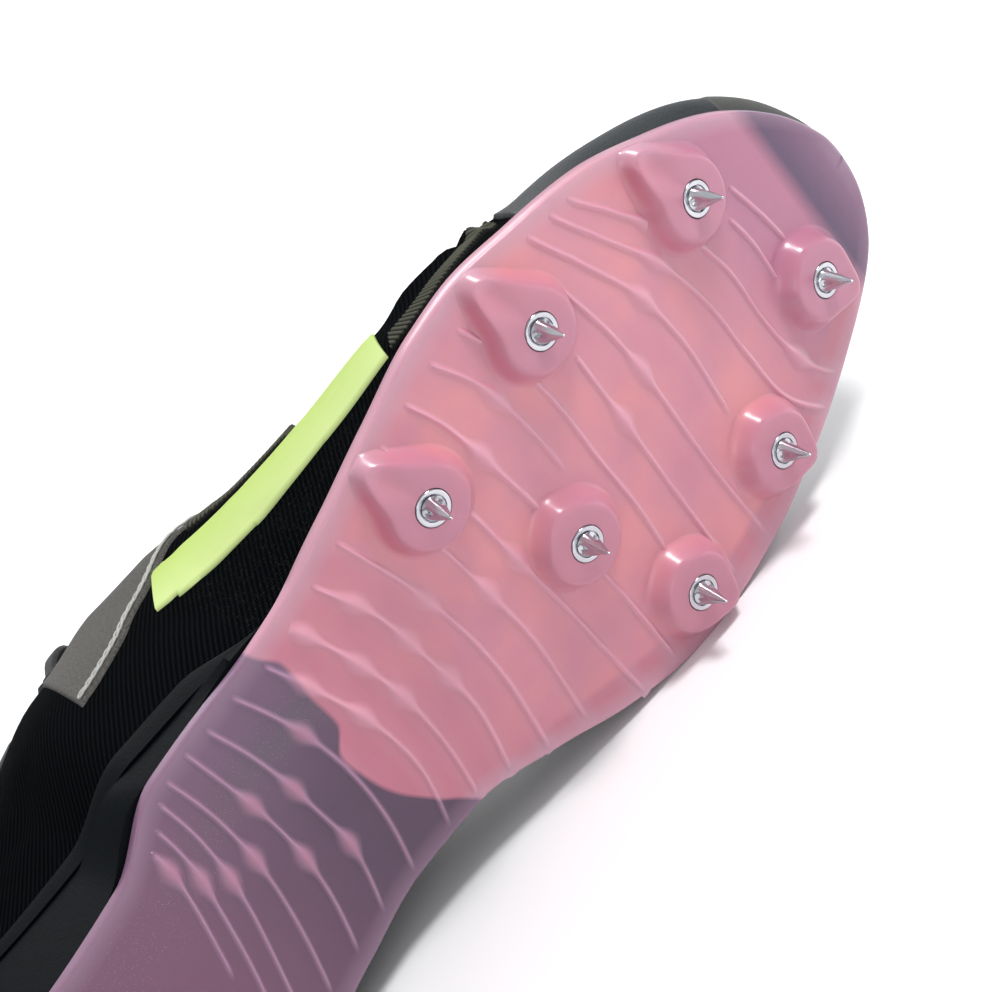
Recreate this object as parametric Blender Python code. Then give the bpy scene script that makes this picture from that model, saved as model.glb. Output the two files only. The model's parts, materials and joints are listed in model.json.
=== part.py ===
"""A right track spike shoe, lying on its medial side. Metres, +Z up.

Every piece is shaped in the shoe's own frame first: X to the lateral side, Y from heel to toe and Z up
from the sole, with the origin on the underside of the sole below the ball of the foot. lay_on_side()
then rolls the whole shoe onto its medial side. Tables run from the heel (0) to the toe (1) and hold
shares of the named sizes.
"""

import math

import bmesh
import bpy
import numpy as np
from mathutils import Matrix, Vector

MM = 0.001

# Sole outline and profile
SOLE_LENGTH = 275 * MM
BALL_TO_TOE = 98 * MM
BALL_WIDTH = 94.6 * MM
WAIST_WIDTH = 59.0 * MM
HEEL_WIDTH = 58.5 * MM
TOE_SPRING = 15.8 * MM
ARCH_RISE = 3.4 * MM
HEEL_DROP = 11.2 * MM
CROSS_RADIUS = 1000 * MM

# Upper, heights above the underside of the sole
INSTEP_HEIGHT = 70 * MM
ANKLE_HEIGHT = 56 * MM
HEEL_HEIGHT = 72 * MM
TOE_HEIGHT = 23 * MM
THROAT_WIDTH = 26 * MM
COLLAR_WIDTH = 51 * MM
UPPER_WALL = 1.6 * MM

# Layers
CLEARANCE = 0.35 * MM
PLATE_THICKNESS = 1.8 * MM
RIM_WIDTH = 1.2 * MM
RIM_HEIGHT = 1.2 * MM
EDGE_ROUND = 0.8 * MM
RIM_CLEARANCE = 0.8 * MM
RIM_SLOPE = 0.3 * MM
BITE_FROM_EDGE = 0.5 * MM
PAD_THICKNESS = 3.6 * MM
HEEL_FOAM = 21.5 * MM
INSOLE_THICKNESS = 2.5 * MM
INSOLE_INSET = 6.0 * MM
TONGUE_THICKNESS = 2.4 * MM
TONGUE_CLEARANCE = 0.6 * MM
TONGUE_STANDS_OUT = 14 * MM
TONGUE_NARROWS = 0.35
OVERLAY_THICKNESS = 0.8 * MM

# Spikes and the pods that carry them
POD_HEIGHT = 4.2 * MM
POD_TOP_RADIUS = 8.6 * MM
POD_BASE_RADIUS = 10.2 * MM
POD_ROOT = 1.2 * MM
FLANGE_RADIUS = 3.5 * MM
FLANGE_THICKNESS = 1.2 * MM
STUD_RADIUS = 2.0 * MM
STUD_LENGTH = 3.4 * MM
PIN_LENGTH = 6.7 * MM
PIN_RADIUS = 2.2 * MM
PIN_TIP_RADIUS = 0.25 * MM
SPIKE_SIDES = 10

# Laces
LACE_WIDTH = 4.6 * MM
LACE_THICKNESS = 1.2 * MM
LACE_LIFT = 0.6 * MM
LACE_HUMP = 1.6 * MM
EYELET_PAIRS = 6
EYELET_FROM_EDGE = 0.93

# Mesh fineness
STATIONS = 38
WALL_STEPS = 9
SOLE_COLUMNS = 8

# The floor's face of the shoe's hull points to the medial side within this cosine
MEDIAL_ENOUGH = 0.9

LATERAL, MEDIAL = 1, -1

# Plan of the sole: share of the length, lateral edge, medial edge, and the width they are shares of
OUTLINE = (
    (0.000, -0.085, -0.085, HEEL_WIDTH),
    (0.036, 0.282, -0.453, HEEL_WIDTH),
    (0.109, 0.405, -0.581, HEEL_WIDTH),
    (0.200, 0.400, -0.590, HEEL_WIDTH),
    (0.285, 0.385, -0.573, HEEL_WIDTH),
    (0.350, 0.483, -0.551, WAIST_WIDTH),
    (0.420, 0.478, -0.522, WAIST_WIDTH),
    (0.480, 0.505, -0.529, WAIST_WIDTH),
    (0.540, 0.370, -0.384, BALL_WIDTH),
    (0.600, 0.428, -0.460, BALL_WIDTH),
    (0.660, 0.476, -0.506, BALL_WIDTH),
    (0.700, 0.485, -0.515, BALL_WIDTH),
    (0.760, 0.458, -0.501, BALL_WIDTH),
    (0.820, 0.412, -0.468, BALL_WIDTH),
    (0.880, 0.322, -0.423, BALL_WIDTH),
    (0.930, 0.224, -0.370, BALL_WIDTH),
    (0.970, 0.100, -0.302, BALL_WIDTH),
    (0.990, -0.004, -0.227, BALL_WIDTH),
    (1.000, -0.115, -0.115, BALL_WIDTH),
)

# Side profile of the sole's underside: share of the length, height, and the size it is a share of
PROFILE = (
    (0.000, -0.86, HEEL_DROP),
    (0.055, -1.00, HEEL_DROP),
    (0.145, -1.00, HEEL_DROP),
    (0.215, -0.75, HEEL_DROP),
    (0.287, -0.29, HEEL_DROP),
    (0.353, 0.35, ARCH_RISE),
    (0.418, 1.00, ARCH_RISE),
    (0.480, 0.94, ARCH_RISE),
    (0.553, 0.35, ARCH_RISE),
    (0.644, 0.00, TOE_SPRING),
    (0.735, 0.07, TOE_SPRING),
    (0.825, 0.27, TOE_SPRING),
    (0.916, 0.59, TOE_SPRING),
    (1.000, 1.00, TOE_SPRING),
)

# Wall of the upper, a curve from the bite line up to the top line at each station:
# share of the length at the bite line and at the top line, height of the top line, half of the
# opening there, then how far the curve leaves outwards and upwards and arrives from outwards and below
WALLS = (
    # foot, top, height, half opening, flare, stand, belly, drop
    (0.000, 0.020, 1.00 * HEEL_HEIGHT, 0.00 * COLLAR_WIDTH, 0.030, 0.30, 0.050, 0.35),
    (0.036, 0.050, 0.97 * HEEL_HEIGHT, 0.30 * COLLAR_WIDTH, 0.030, 0.32, 0.050, 0.36),
    (0.109, 0.115, 1.08 * ANKLE_HEIGHT, 0.47 * COLLAR_WIDTH, 0.040, 0.38, 0.060, 0.40),
    (0.200, 0.200, 1.00 * ANKLE_HEIGHT, 0.50 * COLLAR_WIDTH, 0.045, 0.40, 0.070, 0.42),
    (0.285, 0.285, 1.12 * ANKLE_HEIGHT, 0.47 * COLLAR_WIDTH, 0.050, 0.38, 0.110, 0.38),
    (0.350, 0.345, 1.06 * INSTEP_HEIGHT, 0.62 * THROAT_WIDTH, 0.050, 0.36, 0.170, 0.34),
    (0.420, 0.410, 1.01 * INSTEP_HEIGHT, 0.54 * THROAT_WIDTH, 0.050, 0.37, 0.200, 0.30),
    (0.480, 0.470, 0.93 * INSTEP_HEIGHT, 0.50 * THROAT_WIDTH, 0.050, 0.39, 0.225, 0.22),
    (0.540, 0.530, 0.82 * INSTEP_HEIGHT, 0.46 * THROAT_WIDTH, 0.042, 0.42, 0.240, 0.15),
    (0.600, 0.590, 0.72 * INSTEP_HEIGHT, 0.41 * THROAT_WIDTH, 0.034, 0.42, 0.255, 0.09),
    (0.655, 0.645, 0.64 * INSTEP_HEIGHT, 0.33 * THROAT_WIDTH, 0.028, 0.40, 0.270, 0.05),
    (0.690, 0.680, 0.60 * INSTEP_HEIGHT, 0.00 * THROAT_WIDTH, 0.024, 0.38, 0.300, 0.00),
    (0.760, 0.745, 0.54 * INSTEP_HEIGHT, 0.00 * THROAT_WIDTH, 0.024, 0.37, 0.300, 0.00),
    (0.820, 0.800, 0.49 * INSTEP_HEIGHT, 0.00 * THROAT_WIDTH, 0.038, 0.42, 0.290, 0.00),
    (0.880, 0.855, 1.42 * TOE_HEIGHT, 0.00 * THROAT_WIDTH, 0.062, 0.48, 0.270, 0.00),
    (0.930, 0.900, 1.25 * TOE_HEIGHT, 0.00 * THROAT_WIDTH, 0.078, 0.52, 0.230, 0.00),
    (0.970, 0.930, 1.10 * TOE_HEIGHT, 0.00 * THROAT_WIDTH, 0.082, 0.54, 0.175, 0.00),
    (1.000, 0.945, 1.00 * TOE_HEIGHT, 0.00 * THROAT_WIDTH, 0.076, 0.54, 0.125, 0.00),
)

# How much further out than the lateral wall the medial wall leaves, over the arch and round the heel
MEDIAL_SWELL = (
    # share of the length, extra flare
    (0.000, 0.000),
    (0.080, 0.060),
    (0.200, 0.075),
    (0.350, 0.085),
    (0.480, 0.085),
    (0.600, 0.030),
    (0.700, 0.010),
    (0.820, 0.000),
    (1.000, 0.000),
)
THROAT_FRONT = 0.690
THROAT_TOP = 0.345

# Overlays: where they lie on the upper, as shares of the length and of the wall's height
BUMPER_REAR = 0.935
FILM_REAR = 0.770
OVERLAY_FOOT = 0.13
OVERLAY_TOP = 0.34
BUMPER_TOP = 0.58
FILM_ARCH = 0.10
EYESTAY_FOOT = 0.80
ANKLE_FOOT = 0.55
ANKLE_FRONT = 0.515
OVERLAY_GAP = 0.003

# Top of the foam wedge above the underside of the sole: at its edge, where the upper starts, and inside
FOAM_FRONT = 0.470
FOAM = (
    # share of the length, height at the edge, height under the foot
    (0.000, 1.00 * HEEL_FOAM, 1.00 * HEEL_FOAM),
    (0.150, 1.00 * HEEL_FOAM, 1.00 * HEEL_FOAM),
    (0.290, 0.68 * HEEL_FOAM, 0.70 * HEEL_FOAM),
    (0.350, 0.42 * HEEL_FOAM, 0.45 * HEEL_FOAM),
    (0.420, 0.24 * HEEL_FOAM, 0.30 * HEEL_FOAM),
    (FOAM_FRONT, 0.14 * HEEL_FOAM, 0.27 * HEEL_FOAM),
)
FOAM_INSET = 0.3 * MM
FOAM_EDGE = 2.9 * MM
FOAM_STEP = 5.5 * MM
FOAM_BOW_FROM = 0.20
END_BOW = 12 * MM

# Cushion seen through the plate: share of the length, distance in from the lateral and medial edges
PAD_REAR, PAD_FRONT = 0.474, 0.950
PAD = (
    (PAD_REAR, 4.4 * MM, 4.4 * MM),
    (0.560, 4.4 * MM, 6.0 * MM),
    (0.660, 4.4 * MM, 7.6 * MM),
    (0.800, 4.4 * MM, 7.8 * MM),
    (0.900, 4.4 * MM, 7.8 * MM),
    (PAD_FRONT, 5.0 * MM, 8.0 * MM),
)

# Spikes: place across and along from the ball, then the pod's tail: its direction in degrees and length
SPIKES = (
    (17.3 * MM, 61.5 * MM, -13, 15.5 * MM),
    (-19.4 * MM, 73.6 * MM, 151, 15.5 * MM),
    (28.5 * MM, 21.3 * MM, -10, 16.0 * MM),
    (-32.9 * MM, 43.0 * MM, 152, 13.5 * MM),
    (22.9 * MM, -14.1 * MM, -15, 14.5 * MM),
    (-7.3 * MM, 1.4 * MM, 0, 0.0 * MM),
    (-36.4 * MM, 11.7 * MM, 156, 13.0 * MM),
)

COLOURS = {
    # base colour, roughness, metallic
    "plate": ((0.72, 0.33, 0.42), 0.25, 0.0),
    "cushion": ((0.75, 0.22, 0.30), 0.35, 0.0),
    "foam": ((0.02, 0.025, 0.03), 0.6, 0.0),
    "knit": ((0.012, 0.012, 0.014), 0.85, 0.0),
    "film": ((0.06, 0.07, 0.075), 0.45, 0.0),
    "bumper": ((0.16, 0.17, 0.14), 0.55, 0.0),
    "lining": ((0.09, 0.085, 0.08), 0.9, 0.0),
    "lace": ((0.03, 0.03, 0.03), 0.8, 0.0),
    "steel": ((0.75, 0.76, 0.78), 0.2, 1.0),
}


def angle_of(share):
    """Tables are read at this angle, so that heel and toe close as round ends."""
    return np.arccos(np.clip(1 - 2 * np.asarray(share, float), -1, 1))


def share_of(angle):
    return (1 - np.cos(angle)) / 2


def smooth_curve(places, values):
    """A cubic curve through a table's points that doesn't overshoot them."""
    x, y = np.asarray(places, float), np.asarray(values, float)
    step, rise = np.diff(x), np.diff(y) / np.diff(x)
    slope = np.empty_like(y)
    slope[0], slope[-1] = rise[0], rise[-1]
    for k in range(1, len(x) - 1):
        before, after = rise[k - 1], rise[k]
        w1, w2 = 2 * step[k] + step[k - 1], step[k] + 2 * step[k - 1]
        slope[k] = (w1 + w2) / (w1 / before + w2 / after) if before * after > 0 else 0.0

    def at(place):
        place = np.clip(np.asarray(place, float), x[0], x[-1])
        k = np.clip(np.searchsorted(x, place) - 1, 0, len(x) - 2)
        h = x[k + 1] - x[k]
        t = (place - x[k]) / h
        return (
            (1 + 2 * t) * (1 - t) ** 2 * y[k]
            + t * (1 - t) ** 2 * h * slope[k]
            + t * t * (3 - 2 * t) * y[k + 1]
            + t * t * (t - 1) * h * slope[k + 1]
        )

    return at


def column(table, n, unit=None):
    """Column n of a table as a curve over the share of the length, times the size in column unit."""
    rows = [(row[0], row[n] * (row[unit] if unit else 1)) for row in table]
    curve = smooth_curve(angle_of([row[0] for row in rows]), [row[1] for row in rows])
    return lambda share: curve(angle_of(share))


def along(share):
    """Y of a share of the length."""
    return share * SOLE_LENGTH + BALL_TO_TOE - SOLE_LENGTH


def share_at(y):
    return np.clip((y + SOLE_LENGTH - BALL_TO_TOE) / SOLE_LENGTH, 0, 1)


def fade(low, high, value):
    """0 below low, 1 above high, and smooth between them."""
    t = np.clip((np.asarray(value, float) - low) / (high - low), 0, 1)
    return t * t * (3 - 2 * t)


edge_x = {LATERAL: column(OUTLINE, 1, 3), MEDIAL: column(OUTLINE, 2, 3)}
profile_z = column(PROFILE, 1, 2)
wall_columns = [column(WALLS, n) for n in range(8)]
medial_swell = column(MEDIAL_SWELL, 1)
foam_edge_z, foam_inner_z = column(FOAM, 1), column(FOAM, 2)


def centre_x(share):
    return (edge_x[LATERAL](share) + edge_x[MEDIAL](share)) / 2


def sole_z(x, y):
    """Height of the sole's underside, which is crowned across the forefoot and flat at the heel."""
    share = share_at(y)
    return profile_z(share) + fade(0.25, 0.50, share) * x * x / (2 * CROSS_RADIUS)


def sole_normal(x, y):
    """Unit vector out of the underside, away from the foot."""
    e = 0.5 * MM
    dx = (sole_z(x + e, y) - sole_z(x - e, y)) / (2 * e)
    dy = (sole_z(x, y + e) - sole_z(x, y - e)) / (2 * e)
    return Vector((float(dx), float(dy), -1.0)).normalized()


def plan_edge(side, angle, inset=0.0):
    """Point of the sole's outline, and the way out from it, in plan."""
    e = 2e-3

    def point(a):
        a = np.where(a < 0, -a, np.where(a > np.pi, 2 * np.pi - a, a))
        return np.stack([edge_x[side](share_of(a)), along(share_of(a))], -1)

    angle = np.asarray(angle, float)
    low, high = np.maximum(angle - e, 0), np.minimum(angle + e, np.pi)
    run = point(high) - point(low)
    out = np.stack([run[..., 1], -run[..., 0]], -1) * side
    tip = (angle < e) | (angle > np.pi - e)
    straight = np.stack([np.zeros_like(angle), np.where(angle < 1, -1.0, 1.0)], -1)
    out = np.where(tip[..., None], straight, out)
    out /= np.linalg.norm(out, axis=-1, keepdims=True)
    return point(angle) - out * np.asarray(inset)[..., None], out


def bite_inset(share):
    """The upper stands inside the plate's rim at the forefoot and near the foam's edge behind it."""
    forward = fade(FOAM_FRONT - 0.06, FOAM_FRONT + 0.02, share)
    return BITE_FROM_EDGE + forward * (RIM_WIDTH + RIM_CLEARANCE - BITE_FROM_EDGE)


def bite_height(share):
    """Height of the upper's lower edge above the underside of the sole."""
    runs_out = fade(FOAM_FRONT + 0.05, FOAM_FRONT, share)
    ahead = PLATE_THICKNESS + runs_out * (foam_edge_z(FOAM_FRONT) - PLATE_THICKNESS)
    return CLEARANCE + np.where(share < FOAM_FRONT, foam_edge_z(share), ahead)


def wall_point(side, angle, v):
    """The upper's outer surface: v is 0 at the bite line and 1 at the top line."""
    angle, v = np.broadcast_arrays(np.asarray(angle, float), np.asarray(v, float))
    share = share_of(angle)
    _, top_share, height, gap, flare, stand, belly, drop = [c(share) for c in wall_columns]
    foot, out = plan_edge(side, angle, bite_inset(share))
    foot_z = sole_z(foot[..., 0], foot[..., 1]) + bite_height(share)
    top_y = along(top_share)
    top = np.stack([centre_x(top_share) + side * gap, top_y], -1)
    top_z = profile_z(top_share) + height
    rise = top_z - foot_z
    swell = medial_swell(share) if side == MEDIAL else 0.0
    flare, belly = (flare + swell) * BALL_WIDTH, belly * BALL_WIDTH
    plan = [foot, foot + out * flare[..., None], top + out * belly[..., None], top]
    tall = [foot_z, foot_z + stand * rise, top_z - drop * rise, top_z]
    weights = [(1 - v) ** 3, 3 * (1 - v) ** 2 * v, 3 * (1 - v) * v * v, v**3]
    flat = sum(p * w[..., None] for p, w in zip(plan, weights))
    return np.concatenate([flat, sum(z * w for z, w in zip(tall, weights))[..., None]], -1)


def wall_normal(side, angle, v):
    """Unit vector out of the wall. Just short of the top line both sides still have one at the toe."""
    e = 4e-3
    v = np.clip(v, e, 0.96)
    a0, a1 = np.maximum(angle - e, 0), np.minimum(angle + e, np.pi)
    run = wall_point(side, a1, v) - wall_point(side, a0, v)
    rise = wall_point(side, angle, v + e) - wall_point(side, angle, v - e)
    normal = np.cross(run, rise) * side
    return normal / np.linalg.norm(normal, axis=-1, keepdims=True)


def station_angles():
    """Stations of the upper, evenly spread by angle, with one where the throat starts."""
    angles = np.linspace(0, np.pi, STATIONS + 1)
    throat = float(angle_of(THROAT_FRONT))
    angles[np.abs(angles - throat).argmin()] = throat
    return angles


def stations_between(low, high):
    """The upper's stations between two shares of the length, with one at each of the two."""
    ends = angle_of([low, high])
    inner = [a for a in station_angles() if ends[0] + 0.02 < a < ends[1] - 0.02]
    return np.array([ends[0], *inner, ends[1]])


def add_object(name, verts, faces, colour, smooth=40):
    mesh = bpy.data.meshes.new(name)
    mesh.from_pydata([tuple(map(float, v)) for v in verts], [], faces)
    cleaned = bmesh.new()
    cleaned.from_mesh(mesh)
    bmesh.ops.recalc_face_normals(cleaned, faces=cleaned.faces)
    cleaned.to_mesh(mesh)
    cleaned.free()
    mesh.validate()
    mesh.shade_smooth()
    mesh.set_sharp_from_angle(angle=math.radians(smooth))
    obj = bpy.data.objects.new(name, mesh)
    obj.data.materials.append(material(colour))
    bpy.context.scene.collection.objects.link(obj)
    return obj


def material(name):
    if name in bpy.data.materials:
        return bpy.data.materials[name]
    colour, roughness, metallic = COLOURS[name]
    made = bpy.data.materials.new(name)
    made.use_nodes = True
    shader = made.node_tree.nodes["Principled BSDF"]
    shader.inputs["Base Color"].default_value = (*colour, 1)
    shader.inputs["Roughness"].default_value = roughness
    shader.inputs["Metallic"].default_value = metallic
    return made


class Sheet:
    """A surface of quads whose coinciding corners are one, with a direction at each corner."""

    def __init__(self):
        self.points, self.ways, self.faces, self.known = [], [], [], {}

    def corner(self, point, way):
        key = tuple(int(round(c / 2e-6)) for c in point)
        if key not in self.known:
            self.known[key] = len(self.points)
            self.points.append(np.array(point, float))
            self.ways.append(np.zeros(3))
        self.ways[self.known[key]] += np.array(way, float)
        return self.known[key]

    def grid(self, points, ways, turn=False):
        rows = [[self.corner(p, w) for p, w in zip(*line)] for line in zip(points, ways)]
        for low, high in zip(rows, rows[1:]):
            for k in range(len(low) - 1):
                loop = [low[k], low[k + 1], high[k + 1], high[k]]
                loop = [c for n, c in enumerate(loop) if c != loop[n - 1]]
                if len(loop) > 2:
                    self.faces.append(loop[::-1] if turn else loop)

    def solid(self, name, low, high, colour):
        """A closed solid between two layers, low and high along each corner's direction."""
        count = len(self.points)
        ways = np.array(self.ways)
        ways /= np.linalg.norm(ways, axis=1, keepdims=True)
        points = np.array(self.points)
        verts = np.concatenate([points + ways * low, points + ways * high])
        faces = [[c + count for c in face] for face in self.faces]
        faces += [face[::-1] for face in self.faces]
        used = {}
        for face in self.faces:
            for a, b in zip(face, face[1:] + face[:1]):
                used[(a, b)] = True
        for a, b in used:
            if (b, a) not in used:
                faces.append([a, b, b + count, a + count])
        return add_object(name, verts, faces, colour)


def wall_sheet(angles, v_low, v_high, steps, sides=(LATERAL, MEDIAL)):
    """Part of the upper's surface, between two v values given for each station."""
    sheet = Sheet()
    for side in sides:
        grid_a = np.repeat(np.asarray(angles)[:, None], steps + 1, 1)
        t = np.linspace(0, 1, steps + 1)[None]
        grid_v = np.asarray(v_low)[:, None] * (1 - t) + np.asarray(v_high)[:, None] * t
        points, ways = wall_point(side, grid_a, grid_v), wall_normal(side, grid_a, grid_v)
        sheet.grid(points, ways, turn=side == MEDIAL)
    return sheet


def plan_sheet(shares, insets, columns=SOLE_COLUMNS):
    """The sole's plan as rings along its edge, insets apart, and columns across between them."""
    angles = angle_of(shares)
    across = np.linspace(0, 1, columns + 1)
    lateral = [plan_edge(LATERAL, angles, i[0] if isinstance(i, tuple) else i)[0] for i in insets]
    medial = [plan_edge(MEDIAL, angles, i[1] if isinstance(i, tuple) else i)[0] for i in insets]
    lines = lateral[:-1]
    lines += [lateral[-1] * (1 - t) + medial[-1] * t for t in across]
    lines += medial[-2::-1]
    flat = np.stack(lines, 1)
    rings = list(range(len(insets) - 1)) + [len(insets) - 1] * len(across)
    rings += list(range(len(insets) - 2, -1, -1))
    return flat, np.array(rings)


def slab(name, flat, low, high, colour):
    """A solid over a plan between two heights, given at each of the plan's points."""
    count_along, count_across = flat.shape[:2]
    known, verts, index = {}, [], np.empty((count_along, count_across), int)
    for i in range(count_along):
        for k in range(count_across):
            key = tuple(int(round(c / 2e-6)) for c in flat[i, k])
            if key not in known:
                known[key] = len(verts)
                verts.append((*flat[i, k], low[i, k], high[i, k]))
            index[i, k] = known[key]
    loops = []
    for i in range(count_along - 1):
        for k in range(count_across - 1):
            loop = [index[i, k], index[i, k + 1], index[i + 1, k + 1], index[i + 1, k]]
            loop = [int(c) for n, c in enumerate(loop) if c != loop[n - 1]]
            if len(loop) > 2:
                loops.append(loop)
    count = len(verts)
    corners = [(x, y, z) for x, y, z, _ in verts] + [(x, y, z) for x, y, _, z in verts]
    faces = [loop[::-1] for loop in loops] + [[c + count for c in loop] for loop in loops]
    used = {(a, b) for loop in loops for a, b in zip(loop, loop[1:] + loop[:1])}
    faces += [[a, b, b + count, a + count] for a, b in used if (b, a) not in used]
    return add_object(name, corners, faces, colour)


def plate_body():
    """The thin outsole plate: a tray with a round lower edge and, round the forefoot, a low rim."""
    shares = share_of(np.linspace(0, np.pi, STATIONS + 1))
    flat, rings = plan_sheet(shares, [0.0, EDGE_ROUND, RIM_WIDTH, RIM_WIDTH + RIM_SLOPE])
    under = sole_z(flat[..., 0], flat[..., 1])
    lift = np.array([EDGE_ROUND, 0.15 * EDGE_ROUND, 0.0, 0.0])
    rim = fade(FOAM_FRONT, FOAM_FRONT + 0.05, share_at(flat[..., 1])) * RIM_HEIGHT
    has_rim = np.array([1.0, 1.0, 1.0, 0.0])
    top = under + PLATE_THICKNESS + rim * has_rim[rings][None]
    return slab("outsole_plate", flat, under + lift[rings][None], top, "plate")


def pod_ring(scale_radius, tail_length, tail_angle, count=20):
    """A circle drawn out into a tail: the tail's sides are tangents to the circle."""
    ring = []
    reach = max(tail_length, scale_radius * 1.001)
    half = math.acos(scale_radius / reach) if tail_length else 0.0
    for k in range(count):
        turn = 2 * math.pi * k / count
        off = abs((turn + math.pi) % (2 * math.pi) - math.pi)
        radius = scale_radius / math.cos(half - off) if off < half else scale_radius
        ring.append((radius, turn + tail_angle))
    return ring


def frame_at(x, y):
    """Matrix whose Z points out of the underside at a place on it."""
    z = sole_normal(x, y)
    along_x = (Vector((1, 0, 0)) - z * z.x).normalized()
    along_y = z.cross(along_x)
    place = Matrix((along_x, along_y, z)).transposed().to_4x4()
    place.translation = (x, y, float(sole_z(x, y)))
    return place


def pod_mesh(x, y, tail_degrees, tail_length):
    """A spike's pod, from inside the plate to its flat top."""
    tail_angle = -math.radians(tail_degrees)
    levels = (
        # height, radius, and how much of the tail's reach is left
        (-POD_ROOT, POD_BASE_RADIUS, 1.00),
        (0.0, POD_BASE_RADIUS, 1.00),
        (0.78 * POD_HEIGHT, 0.4 * POD_BASE_RADIUS + 0.6 * POD_TOP_RADIUS, 0.94),
        (POD_HEIGHT, 0.92 * POD_TOP_RADIUS, 0.85),
    )
    verts, faces = [], []
    place = frame_at(x, y)
    count = len(pod_ring(POD_BASE_RADIUS, tail_length, tail_angle))
    for height, radius, reach in levels:
        for r, turn in pod_ring(radius, tail_length * reach, tail_angle):
            past = max(0.0, r - radius) / max(tail_length, POD_BASE_RADIUS)
            drop = height * (1 - 0.9 * past) if height > 0 else height
            verts.append(place @ Vector((r * math.cos(turn), r * math.sin(turn), drop)))
    for level in range(len(levels) - 1):
        for k in range(count):
            a, b = level * count + k, level * count + (k + 1) % count
            faces.append([a, b, b + count, a + count])
    top = (len(levels) - 1) * count
    verts.append(place @ Vector((0, 0, POD_HEIGHT)))
    faces += [[top + k, top + (k + 1) % count, len(verts) - 1] for k in range(count)]
    verts.append(place @ Vector((0, 0, -POD_ROOT)))
    faces += [[(k + 1) % count, k, len(verts) - 1] for k in range(count)]
    return verts, faces


def turned(name, place, outline, sides, colour):
    """A round solid from (radius, height) pairs, its first and last on the axis."""
    verts, faces, rings = [], [], []
    for radius, height in outline:
        if radius == 0:
            verts.append(place @ Vector((0, 0, height)))
            rings.append([len(verts) - 1] * sides)
            continue
        start = len(verts)
        for k in range(sides):
            turn = 2 * math.pi * k / sides
            verts.append(place @ Vector((radius * math.cos(turn), radius * math.sin(turn), height)))
        rings.append(list(range(start, start + sides)))
    for low, high in zip(rings, rings[1:]):
        for k in range(sides):
            loop = [low[k], low[(k + 1) % sides], high[(k + 1) % sides], high[k]]
            faces.append([c for n, c in enumerate(loop) if c != loop[n - 1]])
    return add_object(name, verts, faces, colour)


def boolean(obj, operation, other):
    modifier = obj.modifiers.new(operation.lower(), "BOOLEAN")
    modifier.operation = operation
    modifier.object = other
    other.hide_render = True
    other.display_type = "WIRE"


def make_outsole():
    plate = plate_body()
    for number, (x, y, tail_degrees, tail_length) in enumerate(SPIKES, 1):
        verts, faces = pod_mesh(x, y, tail_degrees, tail_length)
        pod = add_object(f"pod_form_{number}", verts, faces, "plate")
        boolean(plate, "UNION", pod)
    for number, (x, y, _, _) in enumerate(SPIKES, 1):
        top, wide = POD_HEIGHT + 1 * MM, FLANGE_RADIUS + CLEARANCE
        seat = POD_HEIGHT - FLANGE_THICKNESS - CLEARANCE
        narrow, end = STUD_RADIUS + CLEARANCE, POD_HEIGHT - FLANGE_THICKNESS - STUD_LENGTH - CLEARANCE
        outline = ((0, end), (narrow, end), (narrow, seat), (wide, seat), (wide, top), (0, top))
        hole = turned(f"socket_form_{number}", frame_at(x, y), outline, SPIKE_SIDES, "plate")
        boolean(plate, "DIFFERENCE", hole)


def make_spikes():
    for number, (x, y, _, _) in enumerate(SPIKES, 1):
        face = POD_HEIGHT
        back = face - FLANGE_THICKNESS
        outline = (
            (0, back - STUD_LENGTH),
            (STUD_RADIUS, back - STUD_LENGTH),
            (STUD_RADIUS, back),
            (FLANGE_RADIUS, back),
            (FLANGE_RADIUS, face),
            (PIN_RADIUS, face),
            (0.86 * PIN_RADIUS, face + 0.25 * PIN_LENGTH),
            (PIN_TIP_RADIUS, face + PIN_LENGTH),
            (0, face + PIN_LENGTH),
        )
        turned(f"spike_{number}", frame_at(x, y), outline, SPIKE_SIDES, "steel")


def make_pad():
    """The forefoot cushion, whose rear edge bows back towards the waist."""
    shares = np.linspace(PAD_REAR, PAD_FRONT, 16)
    lateral_inset, medial_inset = column(PAD, 1)(shares), column(PAD, 2)(shares)
    rear = fade(0.5 * (PAD_REAR + PAD_FRONT), PAD_REAR, shares)
    flat, _ = plan_sheet(shares, [(lateral_inset, medial_inset)])
    bow_back(flat, rear)
    floor = sole_z(flat[..., 0], flat[..., 1]) + PLATE_THICKNESS
    slab("forefoot_pad", flat, floor + CLEARANCE, floor + PAD_THICKNESS, "cushion")


def bow_back(flat, amounts):
    """Moves the middle of each row of a plan towards the heel, by the row's own amount."""
    across = np.linspace(-1, 1, flat.shape[1])
    flat[..., 1] -= END_BOW * (1 - across**4)[None] * amounts[:, None]


def make_midsole():
    """The foam wedge from the waist to the heel, tapering to a thin front edge."""
    ends = np.linspace(0, float(angle_of(FOAM_FRONT)), 20)
    insets = [FOAM_INSET, FOAM_EDGE, FOAM_STEP]
    flat, rings = plan_sheet(share_of(ends), insets)
    bow_back(flat, fade(FOAM_BOW_FROM, FOAM_FRONT, share_of(ends)))
    share = share_at(flat[..., 1])
    under = sole_z(flat[..., 0], flat[..., 1])
    edge, inner = foam_edge_z(share), foam_inner_z(share)
    top = np.where((rings < 2)[None], edge, inner)
    slab("midsole", flat, under + PLATE_THICKNESS + CLEARANCE, under + top, "foam")


def deck_height(share):
    """Height above the underside of what the insole lies on."""
    return np.where(
        share < FOAM_FRONT,
        np.maximum(foam_inner_z(share), PLATE_THICKNESS + PAD_THICKNESS),
        PLATE_THICKNESS + PAD_THICKNESS,
    )


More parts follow.
